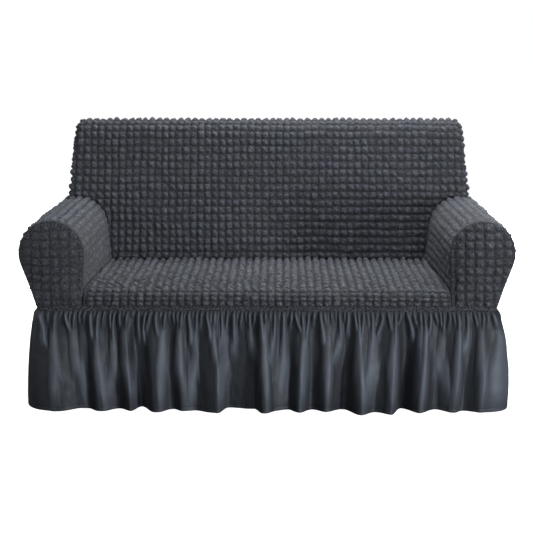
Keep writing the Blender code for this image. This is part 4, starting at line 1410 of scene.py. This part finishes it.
class COVER_OT_stage(bpy.types.Operator):
    """Set up the pale floor, the soft lights and the camera"""

    bl_idname = "cover.stage"
    bl_label = "Studio"

    def execute(self, context):
        studio = context.scene.cover_studio
        self.floor()
        self.world(studio.ambient)
        for name, (place, target, size) in LIGHTS.items():
            self.light(name, place, target, getattr(studio, f"{name}_power"), size)
        self.camera(studio.lens)
        context.scene.view_settings.view_transform = "Standard"
        return {"FINISHED"}

    def camera(self, focal_length):
        lens = bpy.data.cameras.new("camera")
        lens.lens = focal_length
        lens.sensor_width = SENSOR_WIDTH
        camera = bpy.data.objects.new("camera", lens)
        bpy.context.scene.collection.objects.link(camera)
        camera.location = CAMERA_PLACE
        level = math.cos(CAMERA_PITCH)
        look = Vector((
            -math.sin(CAMERA_YAW) * level, math.cos(CAMERA_YAW) * level, -math.sin(CAMERA_PITCH)))
        camera.rotation_euler = look.to_track_quat("-Z", "Y").to_euler()
        bpy.context.scene.camera = camera

    def floor(self):
        deselect()
        height = float(TO_ROW[2]) - FLOOR_DROP
        bpy.ops.mesh.primitive_plane_add(size=FLOOR_SIZE, location=(0.0, 0.0, height))
        floor = bpy.context.object
        floor.name = "floor"
        material, _, shader = nodes_of("pale_floor")
        set_inputs(shader, {
            "Base Color": (0.93, 0.93, 0.935, 1.0), "Roughness": 0.85, "Specular IOR Level": 0.1,
            "Emission Color": WHITE, "Emission Strength": 1.0})
        floor.data.materials.append(material)
        floor.visible_diffuse = floor.visible_glossy = False
        deselect()

    def world(self, strength):
        """Even light, darker from below, behind a white backdrop that only the camera sees."""
        world = bpy.data.worlds.new("studio")
        bpy.context.scene.world = world
        world.use_nodes = True
        tree = world.node_tree
        ambient = tree.nodes["Background"]
        set_inputs(ambient, {"Strength": strength})
        way = add_node(tree, "ShaderNodeSeparateXYZ")
        around = add_node(tree, "ShaderNodeTexCoord").outputs["Generated"]
        tree.links.new(around, way.inputs["Vector"])
        height = add_node(tree, "ShaderNodeMapRange", {"From Min": -0.3, "From Max": 0.9})
        tree.links.new(way.outputs["Z"], height.inputs["Value"])
        sky = ramp(tree, height.outputs["Result"], [
            (0.0, (0.10, 0.10, 0.105)), (1.0, (0.96, 0.98, 1.0))])
        tree.links.new(sky, ambient.inputs["Color"])
        backdrop = add_node(tree, "ShaderNodeBackground", {"Color": WHITE, "Strength": 1.0})
        seen = add_node(tree, "ShaderNodeLightPath")
        mixed = add_node(tree, "ShaderNodeMixShader")
        tree.links.new(seen.outputs["Is Camera Ray"], mixed.inputs["Fac"])
        tree.links.new(ambient.outputs["Background"], mixed.inputs[1])
        tree.links.new(backdrop.outputs["Background"], mixed.inputs[2])
        tree.links.new(mixed.outputs["Shader"], tree.nodes["World Output"].inputs["Surface"])

    def light(self, name, place, target, power, size):
        lamp = bpy.data.lights.new(name, "AREA")
        lamp.energy = power
        lamp.shape = "RECTANGLE"
        lamp.size, lamp.size_y = size
        thing = bpy.data.objects.new(name, lamp)
        thing.location = place
        thing.rotation_euler = (Vector(target) - Vector(place)).to_track_quat("-Z", "Y").to_euler()
        bpy.context.scene.collection.objects.link(thing)


PIECE_OPERATORS = (
    COVER_OT_seat, COVER_OT_back, COVER_OT_outside_back, COVER_OT_arms, COVER_OT_arm_fronts,
    COVER_OT_band, COVER_OT_skirt, COVER_OT_stage)
SETTINGS = {
    "cover_sizes": CoverSizes, "cover_colours": CoverColours, "cover_studio": CoverStudio}


class COVER_PT_sidebar(bpy.types.Panel):
    """Sizes, colours and the steps that build the cover"""

    bl_label = "Slipcover"
    bl_idname = "COVER_PT_sidebar"
    bl_space_type = "VIEW_3D"
    bl_region_type = "UI"
    bl_category = "Slipcover"

    def draw(self, context):
        for setting, group in SETTINGS.items():
            box = self.layout.box()
            for name in group.__annotations__:
                box.prop(getattr(context.scene, setting), name)
        column = self.layout.column()
        for operator in PIECE_OPERATORS:
            column.operator(operator.bl_idname)


CLASSES = (*SETTINGS.values(), *PIECE_OPERATORS, COVER_PT_sidebar)


def register():
    for each in CLASSES:
        bpy.utils.register_class(each)
    for setting, group in SETTINGS.items():
        setattr(bpy.types.Scene, setting, bpy.props.PointerProperty(type=group))


def unregister():
    for setting in SETTINGS:
        delattr(bpy.types.Scene, setting)
    for each in reversed(CLASSES):
        bpy.utils.unregister_class(each)


def main():
    register()
    deselect()
    bpy.ops.cover.seat()
    bpy.ops.cover.back()
    bpy.ops.cover.outside_back()
    bpy.ops.cover.arms()
    bpy.ops.cover.arm_fronts()
    bpy.ops.cover.band()
    bpy.ops.cover.skirt()
    bpy.ops.cover.stage()
    bpy.context.view_layer.update()


if __name__ == "__main__":
    main()
